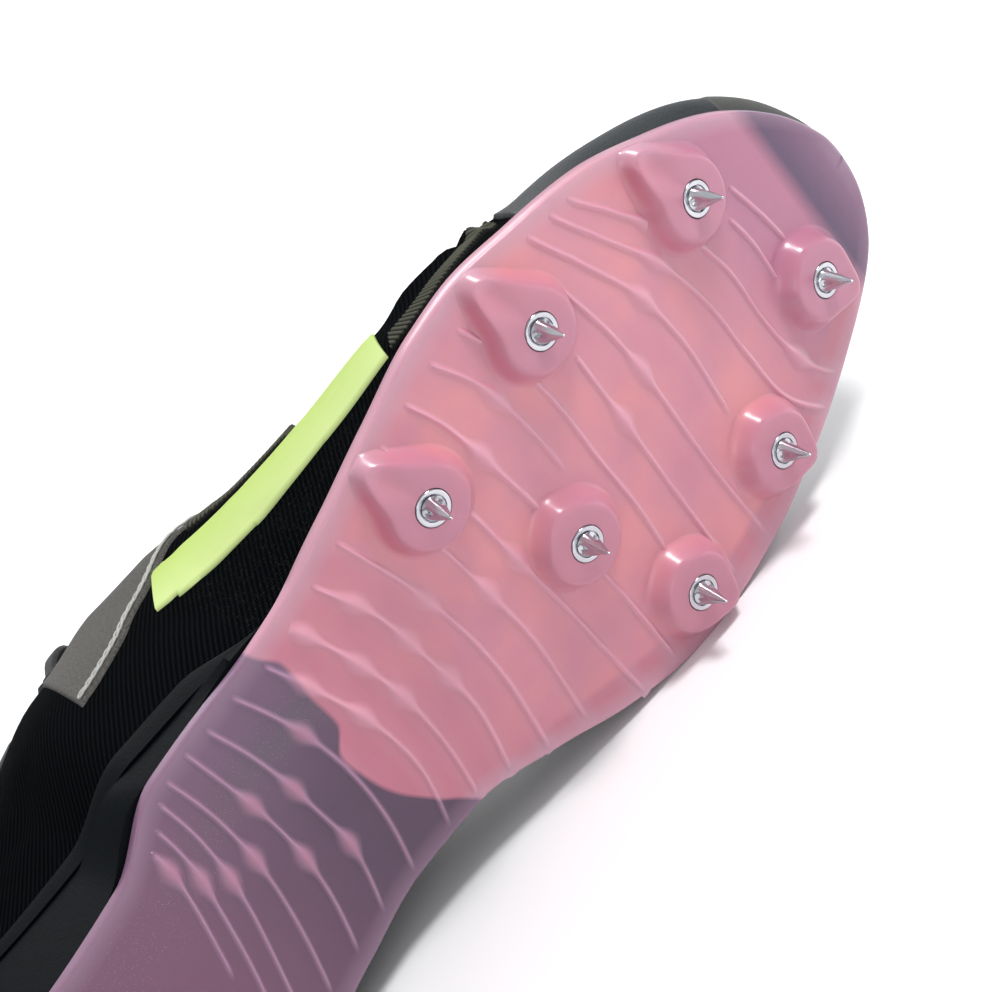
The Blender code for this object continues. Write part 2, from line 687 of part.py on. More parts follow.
def make_insole():
    shares = share_of(np.linspace(0, np.pi, STATIONS - 3))
    flat, _ = plan_sheet(shares, [INSOLE_INSET], columns=4)
    share = share_at(flat[..., 1])
    floor = sole_z(flat[..., 0], flat[..., 1]) + deck_height(share) + 2 * CLEARANCE
    slab("insole", flat, floor, floor + INSOLE_THICKNESS, "lining")


def make_upper():
    angles = station_angles()
    ends = np.zeros_like(angles), np.ones_like(angles)
    wall_sheet(angles, *ends, WALL_STEPS).solid("upper", -UPPER_WALL, 0.0, "knit")


def make_overlays():
    """Pieces laid on the upper: the toe bumper, the lateral forefoot film and the eyestay."""
    layer = CLEARANCE, CLEARANCE + OVERLAY_THICKNESS

    toe = stations_between(BUMPER_REAR, 1)
    up = OVERLAY_TOP + (BUMPER_TOP - OVERLAY_TOP) * fade(BUMPER_REAR, 1, share_of(toe))
    wall_sheet(toe, OVERLAY_FOOT + 0 * toe, up, 6).solid("toe_bumper", *layer, "bumper")

    side = stations_between(FILM_REAR, BUMPER_REAR - OVERLAY_GAP)
    top = OVERLAY_TOP + FILM_ARCH * np.sin(np.pi * np.linspace(0, 1, len(side)))
    film = wall_sheet(side, OVERLAY_FOOT + 0 * side, top, 6, sides=(LATERAL,))
    film.solid("side_overlay", *layer, "film")

    stay = stations_between(THROAT_TOP + 0.015, THROAT_FRONT + 0.05)
    wall_sheet(stay, EYESTAY_FOOT + 0 * stay, 1 + 0 * stay, 6).solid("eyestay", *layer, "film")

    ankle = stations_between(THROAT_TOP + 0.015, ANKLE_FRONT)
    top = EYESTAY_FOOT - 2 * OVERLAY_GAP + 0 * ankle
    panel = wall_sheet(ankle, ANKLE_FOOT + 0 * ankle, top, 4, sides=(LATERAL,))
    panel.solid("ankle_panel", *layer, "lining")


def tongue_section(angle, side_reach, steps=4, bridge=6):
    """Points and directions across the tongue at a station, just inside the upper and its throat."""
    inside = UPPER_WALL + TONGUE_CLEARANCE
    v = np.linspace(side_reach, 1, steps)
    sides = {}
    for side in (LATERAL, MEDIAL):
        ways = wall_normal(side, np.full(steps, angle), v)
        sides[side] = wall_point(side, np.full(steps, angle), v) - ways * inside, ways
    (left, left_ways), (right, right_ways) = sides[LATERAL], sides[MEDIAL]
    t = np.linspace(0, 1, bridge + 1)[1:-1, None]
    hump = 0.10 * np.linalg.norm(left[-1] - right[-1]) * 4 * t * (1 - t)
    over = left[-1] * (1 - t) + right[-1] * t + hump * np.array([0, 0, 1.0])
    over_ways = left_ways[-1] * (1 - t) + right_ways[-1] * t
    points = np.concatenate([left, over, right[::-1]])
    ways = np.concatenate([left_ways, over_ways, right_ways[::-1]])
    return points, ways / np.linalg.norm(ways, axis=1, keepdims=True)


def make_tongue():
    angles = station_angles()
    shares = share_of(angles)
    inner = angles[(shares > THROAT_TOP + 0.01) & (shares < THROAT_FRONT - 0.005)]
    rows = [tongue_section(a, 0.84) for a in inner[::-1]]
    lines = [row[0] for row in rows]
    ways = [row[1] for row in rows]
    run = lines[-1].mean(0) - lines[-2].mean(0)
    run /= np.linalg.norm(run)
    last, last_ways = lines[-1], ways[-1]
    for part in (0.5, 1.0):
        narrowed = last.mean(0) + (last - last.mean(0)) * np.array([1 - TONGUE_NARROWS * part, 1, 1])
        lines.append(narrowed + run * TONGUE_STANDS_OUT * part)
        ways.append(last_ways)
    sheet = Sheet()
    sheet.grid(lines, ways)
    sheet.solid("tongue", -TONGUE_THICKNESS, 0.0, "lining")


def eyelet_point(side, share, lift):
    angle = angle_of(share)
    way = wall_normal(side, angle, np.float64(EYELET_FROM_EDGE))
    return wall_point(side, angle, np.float64(EYELET_FROM_EDGE)) + way * lift, way


def lace_strip(start_side, from_share, to_share, lift):
    """One strip of lace from an eyelet, over the tongue, to an eyelet of the other side."""
    first, first_way = eyelet_point(start_side, from_share, lift)
    last, last_way = eyelet_point(-start_side, to_share, lift)
    knots = [first]
    for t, side in ((0.25, start_side), (0.75, -start_side)):
        share = from_share + (to_share - from_share) * t
        angle = angle_of(share)
        way = wall_normal(side, angle, np.float64(1.0))
        knots.append(wall_point(side, angle, np.float64(1.0)) + way * (lift + LACE_LIFT))
    middle = (knots[1] + knots[2]) / 2 + np.array([0, 0, LACE_HUMP])
    path = [first, knots[1], middle, knots[2], last]
    up = [first_way, first_way, first_way + last_way, last_way, last_way]
    verts, faces = [], []
    for n, point in enumerate(path):
        ahead = path[min(n + 1, len(path) - 1)] - path[max(n - 1, 0)]
        across = np.cross(ahead, up[n])
        across *= LACE_WIDTH / 2 / np.linalg.norm(across)
        thick = np.cross(across, ahead)
        thick *= LACE_THICKNESS / 2 / np.linalg.norm(thick)
        verts += [point - across - thick, point + across - thick]
        verts += [point + across + thick, point - across + thick]
    faces.append([0, 1, 2, 3])
    for n in range(len(path) - 1):
        for k in range(4):
            a, b = 4 * n + k, 4 * n + (k + 1) % 4
            faces.append([a, b, b + 4, a + 4])
    faces.append([len(verts) - 1 - k for k in range(4)])
    return verts, faces


def make_laces():
    """Crossed laces joined into one solid, ending at the top eyelets."""
    shares = np.linspace(THROAT_FRONT - 0.045, THROAT_TOP + 0.030, EYELET_PAIRS)
    base = CLEARANCE + OVERLAY_THICKNESS + CLEARANCE + LACE_THICKNESS / 2 + LACE_LIFT
    made = {}
    for start_side, lift in ((LATERAL, base), (MEDIAL, base + 0.35 * MM)):
        verts, faces = [], []
        for a, b in zip(shares, shares[1:]):
            strip_verts, strip_faces = lace_strip(start_side, a, b, lift)
            faces += [[c + len(verts) for c in face] for face in strip_faces]
            verts += strip_verts
        name = "laces" if start_side == LATERAL else "laces_form"
        made[start_side] = add_object(name, verts, faces, "lace")
    boolean(made[LATERAL], "UNION", made[MEDIAL])


def rest_rotation(objects):
    """The turn that brings the face that the shoe rests on, on its medial side, to the floor."""
    hull = bmesh.new()
    graph = bpy.context.evaluated_depsgraph_get()
    weight, centre = 0.0, Vector((0, 0, 0))
    for obj in objects:
        mesh = obj.evaluated_get(graph).to_mesh()
        mesh.calc_loop_triangles()
        for triangle in mesh.loop_triangles:
            a, b, c = (mesh.vertices[k].co for k in triangle.vertices)
            volume = a.dot(b.cross(c)) / 6
            weight += volume
            centre += volume * (a + b + c) / 4
        for vertex in mesh.vertices:
            hull.verts.new(vertex.co)
        obj.evaluated_get(graph).to_mesh_clear()
    centre /= weight
    made = bmesh.ops.convex_hull(hull, input=hull.verts)
    faces = [f for f in made["geom"] if isinstance(f, bmesh.types.BMFace)]
    best, best_way = 0.0, Vector((-1, 0, 0))
    for face in faces:
        face.normal_update()
        way = face.normal
        if way.dot(face.calc_center_median() - centre) < 0:
            way = -way
        foot = centre + way * way.dot(face.verts[0].co - centre)
        corners = [v.co for v in face.verts]
        edges = list(zip(corners, corners[1:] + corners[:1]))
        sides = [way.dot((b - a).normalized().cross(foot - a)) for a, b in edges]
        margin = max(min(sides), min(-s for s in sides))
        if -way.x > MEDIAL_ENOUGH and margin > best:
            best, best_way = margin, way.copy()
    hull.free()
    return best_way.rotation_difference(Vector((0, 0, -1)))


def lay_on_side():
    """Parents every piece to an empty that lays the shoe on its side, Y kept near its heading."""
    pieces = [obj for obj in bpy.context.scene.objects if obj.type == "MESH"]
    shown = [obj for obj in pieces if not obj.hide_render]
    turn = rest_rotation(shown).to_matrix()
    heading = turn @ Vector((0, 1, 0))
    turn = Matrix.Rotation(math.atan2(heading.x, heading.y), 3, "Z") @ turn
    graph = bpy.context.evaluated_depsgraph_get()
    corners = []
    for obj in shown:
        mesh = obj.evaluated_get(graph).to_mesh()
        corners += [turn @ v.co for v in mesh.vertices]
        obj.evaluated_get(graph).to_mesh_clear()
    low = Vector([min(c[k] for c in corners) for k in range(3)])
    high = Vector([max(c[k] for c in corners) for k in range(3)])
    lying = bpy.data.objects.new("shoe_frame", None)
    bpy.context.scene.collection.objects.link(lying)
    lying.matrix_world = Matrix.Translation(
        (-(low.x + high.x) / 2, -(low.y + high.y) / 2, -low.z)
    ) @ turn.to_4x4()
    for obj in pieces:
        obj.parent = lying


def clear_scene():
    for obj in list(bpy.data.objects):
        bpy.data.objects.remove(obj, do_unlink=True)


def main():
    clear_scene()
    make_outsole()
    make_spikes()
    make_pad()
    make_midsole()
    make_insole()
    make_upper()
    make_overlays()
    make_tongue()
    make_laces()
    bpy.context.view_layer.update()
    lay_on_side()


main()
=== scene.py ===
"""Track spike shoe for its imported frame: shapes, materials, floor, light and camera.

Every piece is shaped in the shoe's own frame first: X to the lateral side, Y from heel to toe and Z up
from the sole, with the origin on the underside of the sole below the ball of the foot. Tables run from
the heel (0) to the toe (1) and hold shares of the named sizes.
"""

import json
import math
import random

import bmesh
import bpy
import numpy as np
from mathutils import Matrix, Vector


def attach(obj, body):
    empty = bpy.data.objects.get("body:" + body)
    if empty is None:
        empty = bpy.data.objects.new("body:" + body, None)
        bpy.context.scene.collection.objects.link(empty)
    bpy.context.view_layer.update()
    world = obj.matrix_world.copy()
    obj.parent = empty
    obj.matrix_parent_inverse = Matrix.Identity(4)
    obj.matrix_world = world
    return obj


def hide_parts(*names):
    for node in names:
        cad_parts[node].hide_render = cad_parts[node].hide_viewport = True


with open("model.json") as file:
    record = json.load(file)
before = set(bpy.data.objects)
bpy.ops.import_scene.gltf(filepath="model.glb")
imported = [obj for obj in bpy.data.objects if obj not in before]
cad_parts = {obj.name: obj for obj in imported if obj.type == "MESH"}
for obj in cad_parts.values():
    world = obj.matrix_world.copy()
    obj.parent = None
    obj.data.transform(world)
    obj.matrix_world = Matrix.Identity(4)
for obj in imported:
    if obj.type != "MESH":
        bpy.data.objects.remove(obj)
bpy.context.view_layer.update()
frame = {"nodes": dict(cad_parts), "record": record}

MM = 0.001

# Sole outline and profile
SOLE_LENGTH = 275 * MM
BALL_TO_TOE = 98 * MM
BALL_WIDTH = 94.6 * MM
WAIST_WIDTH = 59.0 * MM
HEEL_WIDTH = 58.5 * MM
TOE_SPRING = 15.8 * MM
ARCH_RISE = 3.4 * MM
HEEL_DROP = 11.2 * MM
CROSS_RADIUS = 1000 * MM

# Upper, heights above the underside of the sole
INSTEP_HEIGHT = 70 * MM
ANKLE_HEIGHT = 56 * MM
HEEL_HEIGHT = 72 * MM
TOE_HEIGHT = 23 * MM
THROAT_WIDTH = 26 * MM
COLLAR_WIDTH = 51 * MM
UPPER_WALL = 1.6 * MM

# Layers
CLEARANCE = 0.35 * MM
PLATE_THICKNESS = 1.8 * MM
RIM_WIDTH = 1.2 * MM
RIM_HEIGHT = 1.2 * MM
EDGE_ROUND = 0.8 * MM
RIM_CLEARANCE = 0.8 * MM
RIM_SLOPE = 0.3 * MM
BITE_FROM_EDGE = 0.5 * MM
PAD_THICKNESS = 3.6 * MM
HEEL_FOAM = 21.5 * MM
INSOLE_THICKNESS = 2.5 * MM
INSOLE_INSET = 6.0 * MM
TONGUE_THICKNESS = 2.4 * MM
TONGUE_CLEARANCE = 0.6 * MM
TONGUE_STANDS_OUT = 14 * MM
TONGUE_NARROWS = 0.35
OVERLAY_THICKNESS = 0.8 * MM

# Spikes and the pods that carry them
POD_HEIGHT = 4.2 * MM
POD_TOP_RADIUS = 8.6 * MM
POD_BASE_RADIUS = 10.2 * MM
POD_ROOT = 1.2 * MM
FLANGE_RADIUS = 3.5 * MM
FLANGE_THICKNESS = 1.2 * MM
STUD_RADIUS = 2.0 * MM
STUD_LENGTH = 3.4 * MM
PIN_LENGTH = 6.7 * MM
PIN_RADIUS = 2.2 * MM
PIN_TIP_RADIUS = 0.25 * MM
SPIKE_SIDES = 10

# Laces
LACE_WIDTH = 4.6 * MM
LACE_THICKNESS = 1.2 * MM
LACE_LIFT = 0.6 * MM
LACE_HUMP = 1.6 * MM
EYELET_PAIRS = 6
EYELET_FROM_EDGE = 0.93

# Mesh fineness
STATIONS = 38
WALL_STEPS = 9
SOLE_COLUMNS = 8

LATERAL, MEDIAL = 1, -1

# Plan of the sole: share of the length, lateral edge, medial edge, and the width they are shares of
OUTLINE = (
    (0.000, -0.085, -0.085, HEEL_WIDTH),
    (0.036, 0.282, -0.453, HEEL_WIDTH),
    (0.109, 0.405, -0.581, HEEL_WIDTH),
    (0.200, 0.400, -0.590, HEEL_WIDTH),
    (0.285, 0.385, -0.573, HEEL_WIDTH),
    (0.350, 0.483, -0.551, WAIST_WIDTH),
    (0.420, 0.478, -0.522, WAIST_WIDTH),
    (0.480, 0.505, -0.529, WAIST_WIDTH),
    (0.540, 0.370, -0.384, BALL_WIDTH),
    (0.600, 0.428, -0.460, BALL_WIDTH),
    (0.660, 0.476, -0.506, BALL_WIDTH),
    (0.700, 0.485, -0.515, BALL_WIDTH),
    (0.760, 0.458, -0.501, BALL_WIDTH),
    (0.820, 0.412, -0.468, BALL_WIDTH),
    (0.880, 0.322, -0.423, BALL_WIDTH),
    (0.930, 0.224, -0.370, BALL_WIDTH),
    (0.970, 0.100, -0.302, BALL_WIDTH),
    (0.990, -0.004, -0.227, BALL_WIDTH),
    (1.000, -0.115, -0.115, BALL_WIDTH),
)

# Side profile of the sole's underside: share of the length, height, and the size it is a share of
PROFILE = (
    (0.000, -0.86, HEEL_DROP),
    (0.055, -1.00, HEEL_DROP),
    (0.145, -1.00, HEEL_DROP),
    (0.215, -0.75, HEEL_DROP),
    (0.287, -0.29, HEEL_DROP),
    (0.353, 0.35, ARCH_RISE),
    (0.418, 1.00, ARCH_RISE),
    (0.480, 0.94, ARCH_RISE),
    (0.553, 0.35, ARCH_RISE),
    (0.644, 0.00, TOE_SPRING),
    (0.735, 0.07, TOE_SPRING),
    (0.825, 0.27, TOE_SPRING),
    (0.916, 0.59, TOE_SPRING),
    (1.000, 1.00, TOE_SPRING),
)

# Wall of the upper, a curve from the bite line up to the top line at each station:
# share of the length at the bite line and at the top line, height of the top line, half of the
# opening there, then how far the curve leaves outwards and upwards and arrives from outwards and below
WALLS = (
    # foot, top, height, half opening, flare, stand, belly, drop
    (0.000, 0.020, 1.00 * HEEL_HEIGHT, 0.00 * COLLAR_WIDTH, 0.030, 0.30, 0.050, 0.35),
    (0.036, 0.050, 0.97 * HEEL_HEIGHT, 0.30 * COLLAR_WIDTH, 0.030, 0.32, 0.050, 0.36),
    (0.109, 0.115, 1.08 * ANKLE_HEIGHT, 0.47 * COLLAR_WIDTH, 0.040, 0.38, 0.060, 0.40),
    (0.200, 0.200, 1.00 * ANKLE_HEIGHT, 0.50 * COLLAR_WIDTH, 0.045, 0.40, 0.070, 0.42),
    (0.285, 0.285, 1.12 * ANKLE_HEIGHT, 0.47 * COLLAR_WIDTH, 0.050, 0.38, 0.110, 0.38),
    (0.350, 0.345, 1.06 * INSTEP_HEIGHT, 0.62 * THROAT_WIDTH, 0.050, 0.36, 0.170, 0.34),
    (0.420, 0.410, 1.01 * INSTEP_HEIGHT, 0.54 * THROAT_WIDTH, 0.050, 0.37, 0.200, 0.30),
    (0.480, 0.470, 0.93 * INSTEP_HEIGHT, 0.50 * THROAT_WIDTH, 0.050, 0.39, 0.225, 0.22),
    (0.540, 0.530, 0.82 * INSTEP_HEIGHT, 0.46 * THROAT_WIDTH, 0.042, 0.42, 0.240, 0.15),
    (0.600, 0.590, 0.72 * INSTEP_HEIGHT, 0.41 * THROAT_WIDTH, 0.034, 0.42, 0.255, 0.09),
    (0.655, 0.645, 0.64 * INSTEP_HEIGHT, 0.33 * THROAT_WIDTH, 0.028, 0.40, 0.270, 0.05),
    (0.690, 0.680, 0.60 * INSTEP_HEIGHT, 0.00 * THROAT_WIDTH, 0.024, 0.38, 0.300, 0.00),
    (0.760, 0.745, 0.54 * INSTEP_HEIGHT, 0.00 * THROAT_WIDTH, 0.024, 0.37, 0.300, 0.00),
    (0.820, 0.800, 0.49 * INSTEP_HEIGHT, 0.00 * THROAT_WIDTH, 0.038, 0.42, 0.290, 0.00),
    (0.880, 0.855, 1.42 * TOE_HEIGHT, 0.00 * THROAT_WIDTH, 0.062, 0.48, 0.270, 0.00),
    (0.930, 0.900, 1.25 * TOE_HEIGHT, 0.00 * THROAT_WIDTH, 0.078, 0.52, 0.230, 0.00),
    (0.970, 0.930, 1.10 * TOE_HEIGHT, 0.00 * THROAT_WIDTH, 0.082, 0.54, 0.175, 0.00),
    (1.000, 0.945, 1.00 * TOE_HEIGHT, 0.00 * THROAT_WIDTH, 0.076, 0.54, 0.125, 0.00),
)

# How much further out than the lateral wall the medial wall leaves, over the arch and round the heel
MEDIAL_SWELL = (
    # share of the length, extra flare
    (0.000, 0.000),
    (0.080, 0.060),
    (0.200, 0.075),
    (0.350, 0.085),
    (0.480, 0.085),
    (0.600, 0.030),
    (0.700, 0.010),
    (0.820, 0.000),
    (1.000, 0.000),
)
THROAT_FRONT = 0.690
THROAT_TOP = 0.345

# Overlays: where they lie on the upper, as shares of the length and of the wall's height
BUMPER_REAR = 0.935
FILM_REAR = 0.770
OVERLAY_FOOT = 0.13
OVERLAY_TOP = 0.34
BUMPER_TOP = 0.58
FILM_ARCH = 0.10
EYESTAY_FOOT = 0.80
ANKLE_FOOT = 0.55
ANKLE_FRONT = 0.515
OVERLAY_GAP = 0.003

# Top of the foam wedge above the underside of the sole: at its edge, where the upper starts, and inside
FOAM_FRONT = 0.470
FOAM = (
    # share of the length, height at the edge, height under the foot
    (0.000, 1.00 * HEEL_FOAM, 1.00 * HEEL_FOAM),
    (0.150, 1.00 * HEEL_FOAM, 1.00 * HEEL_FOAM),
    (0.290, 0.68 * HEEL_FOAM, 0.70 * HEEL_FOAM),
    (0.350, 0.42 * HEEL_FOAM, 0.45 * HEEL_FOAM),
    (0.420, 0.24 * HEEL_FOAM, 0.30 * HEEL_FOAM),
    (FOAM_FRONT, 0.14 * HEEL_FOAM, 0.27 * HEEL_FOAM),
)
FOAM_INSET = 0.3 * MM
FOAM_EDGE = 2.9 * MM
FOAM_STEP = 5.5 * MM
FOAM_BOW_FROM = 0.20
END_BOW = 12 * MM

# Cushion seen through the plate: share of the length, distance in from the lateral and medial edges
PAD_REAR, PAD_FRONT = 0.474, 0.950
PAD = (
    (PAD_REAR, 4.4 * MM, 4.4 * MM),
    (0.560, 4.4 * MM, 6.0 * MM),
    (0.660, 4.4 * MM, 7.6 * MM),
    (0.800, 4.4 * MM, 7.8 * MM),
    (0.900, 4.4 * MM, 7.8 * MM),
    (PAD_FRONT, 5.0 * MM, 8.0 * MM),
)

# Spikes: place across and along from the ball, then the pod's tail: its direction in degrees and length
SPIKES = (
    (17.3 * MM, 61.5 * MM, -13, 15.5 * MM),
    (-19.4 * MM, 73.6 * MM, 151, 15.5 * MM),
    (28.5 * MM, 21.3 * MM, -10, 16.0 * MM),
    (-32.9 * MM, 43.0 * MM, 152, 13.5 * MM),
    (22.9 * MM, -14.1 * MM, -15, 14.5 * MM),
    (-7.3 * MM, 1.4 * MM, 0, 0.0 * MM),
    (-36.4 * MM, 11.7 * MM, 156, 13.0 * MM),
)

def angle_of(share):
    """Tables are read at this angle, so that heel and toe close as round ends."""
    return np.arccos(np.clip(1 - 2 * np.asarray(share, float), -1, 1))


def share_of(angle):
    return (1 - np.cos(angle)) / 2


def smooth_curve(places, values):
    """A cubic curve through a table's points that doesn't overshoot them."""
    x, y = np.asarray(places, float), np.asarray(values, float)
    step, rise = np.diff(x), np.diff(y) / np.diff(x)
    slope = np.empty_like(y)
    slope[0], slope[-1] = rise[0], rise[-1]
    for k in range(1, len(x) - 1):
        before, after = rise[k - 1], rise[k]
        w1, w2 = 2 * step[k] + step[k - 1], step[k] + 2 * step[k - 1]
        slope[k] = (w1 + w2) / (w1 / before + w2 / after) if before * after > 0 else 0.0

    def at(place):
        place = np.clip(np.asarray(place, float), x[0], x[-1])
        k = np.clip(np.searchsorted(x, place) - 1, 0, len(x) - 2)
        h = x[k + 1] - x[k]
        t = (place - x[k]) / h
        return (
            (1 + 2 * t) * (1 - t) ** 2 * y[k]
            + t * (1 - t) ** 2 * h * slope[k]
            + t * t * (3 - 2 * t) * y[k + 1]
            + t * t * (t - 1) * h * slope[k + 1]
        )

    return at


def column(table, n, unit=None):
    """Column n of a table as a curve over the share of the length, times the size in column unit."""
    rows = [(row[0], row[n] * (row[unit] if unit else 1)) for row in table]
    curve = smooth_curve(angle_of([row[0] for row in rows]), [row[1] for row in rows])
    return lambda share: curve(angle_of(share))


def along(share):
    """Y of a share of the length."""
    return share * SOLE_LENGTH + BALL_TO_TOE - SOLE_LENGTH


def share_at(y):
    return np.clip((y + SOLE_LENGTH - BALL_TO_TOE) / SOLE_LENGTH, 0, 1)


def fade(low, high, value):
    """0 below low, 1 above high, and smooth between them."""
    t = np.clip((np.asarray(value, float) - low) / (high - low), 0, 1)
    return t * t * (3 - 2 * t)


edge_x = {LATERAL: column(OUTLINE, 1, 3), MEDIAL: column(OUTLINE, 2, 3)}
profile_z = column(PROFILE, 1, 2)
wall_columns = [column(WALLS, n) for n in range(8)]
medial_swell = column(MEDIAL_SWELL, 1)
foam_edge_z, foam_inner_z = column(FOAM, 1), column(FOAM, 2)


def centre_x(share):
    return (edge_x[LATERAL](share) + edge_x[MEDIAL](share)) / 2


def sole_z(x, y):
    """Height of the sole's underside, which is crowned across the forefoot and flat at the heel."""
    share = share_at(y)
    return profile_z(share) + fade(0.25, 0.50, share) * x * x / (2 * CROSS_RADIUS)


def sole_normal(x, y):
    """Unit vector out of the underside, away from the foot."""
    e = 0.5 * MM
    dx = (sole_z(x + e, y) - sole_z(x - e, y)) / (2 * e)
    dy = (sole_z(x, y + e) - sole_z(x, y - e)) / (2 * e)
    return Vector((float(dx), float(dy), -1.0)).normalized()


def plan_edge(side, angle, inset=0.0):
    """Point of the sole's outline, and the way out from it, in plan."""
    e = 2e-3

    def point(a):
        a = np.where(a < 0, -a, np.where(a > np.pi, 2 * np.pi - a, a))
        return np.stack([edge_x[side](share_of(a)), along(share_of(a))], -1)

    angle = np.asarray(angle, float)
    low, high = np.maximum(angle - e, 0), np.minimum(angle + e, np.pi)
    run = point(high) - point(low)
    out = np.stack([run[..., 1], -run[..., 0]], -1) * side
    tip = (angle < e) | (angle > np.pi - e)
    straight = np.stack([np.zeros_like(angle), np.where(angle < 1, -1.0, 1.0)], -1)
    out = np.where(tip[..., None], straight, out)
    out /= np.linalg.norm(out, axis=-1, keepdims=True)
    return point(angle) - out * np.asarray(inset)[..., None], out


def bite_inset(share):
    """The upper stands inside the plate's rim at the forefoot and near the foam's edge behind it."""
    forward = fade(FOAM_FRONT - 0.06, FOAM_FRONT + 0.02, share)
    return BITE_FROM_EDGE + forward * (RIM_WIDTH + RIM_CLEARANCE - BITE_FROM_EDGE)


def bite_height(share):
    """Height of the upper's lower edge above the underside of the sole."""
    runs_out = fade(FOAM_FRONT + 0.05, FOAM_FRONT, share)
    ahead = PLATE_THICKNESS + runs_out * (foam_edge_z(FOAM_FRONT) - PLATE_THICKNESS)
    return CLEARANCE + np.where(share < FOAM_FRONT, foam_edge_z(share), ahead)


def wall_point(side, angle, v):
    """The upper's outer surface: v is 0 at the bite line and 1 at the top line."""
    angle, v = np.broadcast_arrays(np.asarray(angle, float), np.asarray(v, float))
    share = share_of(angle)
    _, top_share, height, gap, flare, stand, belly, drop = [c(share) for c in wall_columns]
    foot, out = plan_edge(side, angle, bite_inset(share))
    foot_z = sole_z(foot[..., 0], foot[..., 1]) + bite_height(share)
    top_y = along(top_share)
    top = np.stack([centre_x(top_share) + side * gap, top_y], -1)
    top_z = profile_z(top_share) + height
    rise = top_z - foot_z
    swell = medial_swell(share) if side == MEDIAL else 0.0
    flare, belly = (flare + swell) * BALL_WIDTH, belly * BALL_WIDTH
    plan = [foot, foot + out * flare[..., None], top + out * belly[..., None], top]
    tall = [foot_z, foot_z + stand * rise, top_z - drop * rise, top_z]
    weights = [(1 - v) ** 3, 3 * (1 - v) ** 2 * v, 3 * (1 - v) * v * v, v**3]
    flat = sum(p * w[..., None] for p, w in zip(plan, weights))
    return np.concatenate([flat, sum(z * w for z, w in zip(tall, weights))[..., None]], -1)


def wall_normal(side, angle, v):
    """Unit vector out of the wall. Just short of the top line both sides still have one at the toe."""
    e = 4e-3
    v = np.clip(v, e, 0.96)
    a0, a1 = np.maximum(angle - e, 0), np.minimum(angle + e, np.pi)
    run = wall_point(side, a1, v) - wall_point(side, a0, v)
    rise = wall_point(side, angle, v + e) - wall_point(side, angle, v - e)
    normal = np.cross(run, rise) * side
    return normal / np.linalg.norm(normal, axis=-1, keepdims=True)


def frame_at(x, y):
    """Matrix whose Z points out of the underside at a place on it."""
    z = sole_normal(x, y)
    along_x = (Vector((1, 0, 0)) - z * z.x).normalized()
    along_y = z.cross(along_x)
    place = Matrix((along_x, along_y, z)).transposed().to_4x4()
    place.translation = (x, y, float(sole_z(x, y)))
    return place


def tongue_section(angle, side_reach, steps=4, bridge=6):
    """Points and directions across the tongue at a station, just inside the upper and its throat."""
    inside = UPPER_WALL + TONGUE_CLEARANCE
    v = np.linspace(side_reach, 1, steps)
    sides = {}
    for side in (LATERAL, MEDIAL):
        ways = wall_normal(side, np.full(steps, angle), v)
        sides[side] = wall_point(side, np.full(steps, angle), v) - ways * inside, ways
    (left, left_ways), (right, right_ways) = sides[LATERAL], sides[MEDIAL]
    t = np.linspace(0, 1, bridge + 1)[1:-1, None]
    hump = 0.10 * np.linalg.norm(left[-1] - right[-1]) * 4 * t * (1 - t)
    over = left[-1] * (1 - t) + right[-1] * t + hump * np.array([0, 0, 1.0])
    over_ways = left_ways[-1] * (1 - t) + right_ways[-1] * t
    points = np.concatenate([left, over, right[::-1]])
    ways = np.concatenate([left_ways, over_ways, right_ways[::-1]])
    return points, ways / np.linalg.norm(ways, axis=1, keepdims=True)


def eyelet_point(side, share, lift):
    angle = angle_of(share)
    way = wall_normal(side, angle, np.float64(EYELET_FROM_EDGE))
    return wall_point(side, angle, np.float64(EYELET_FROM_EDGE)) + way * lift, way


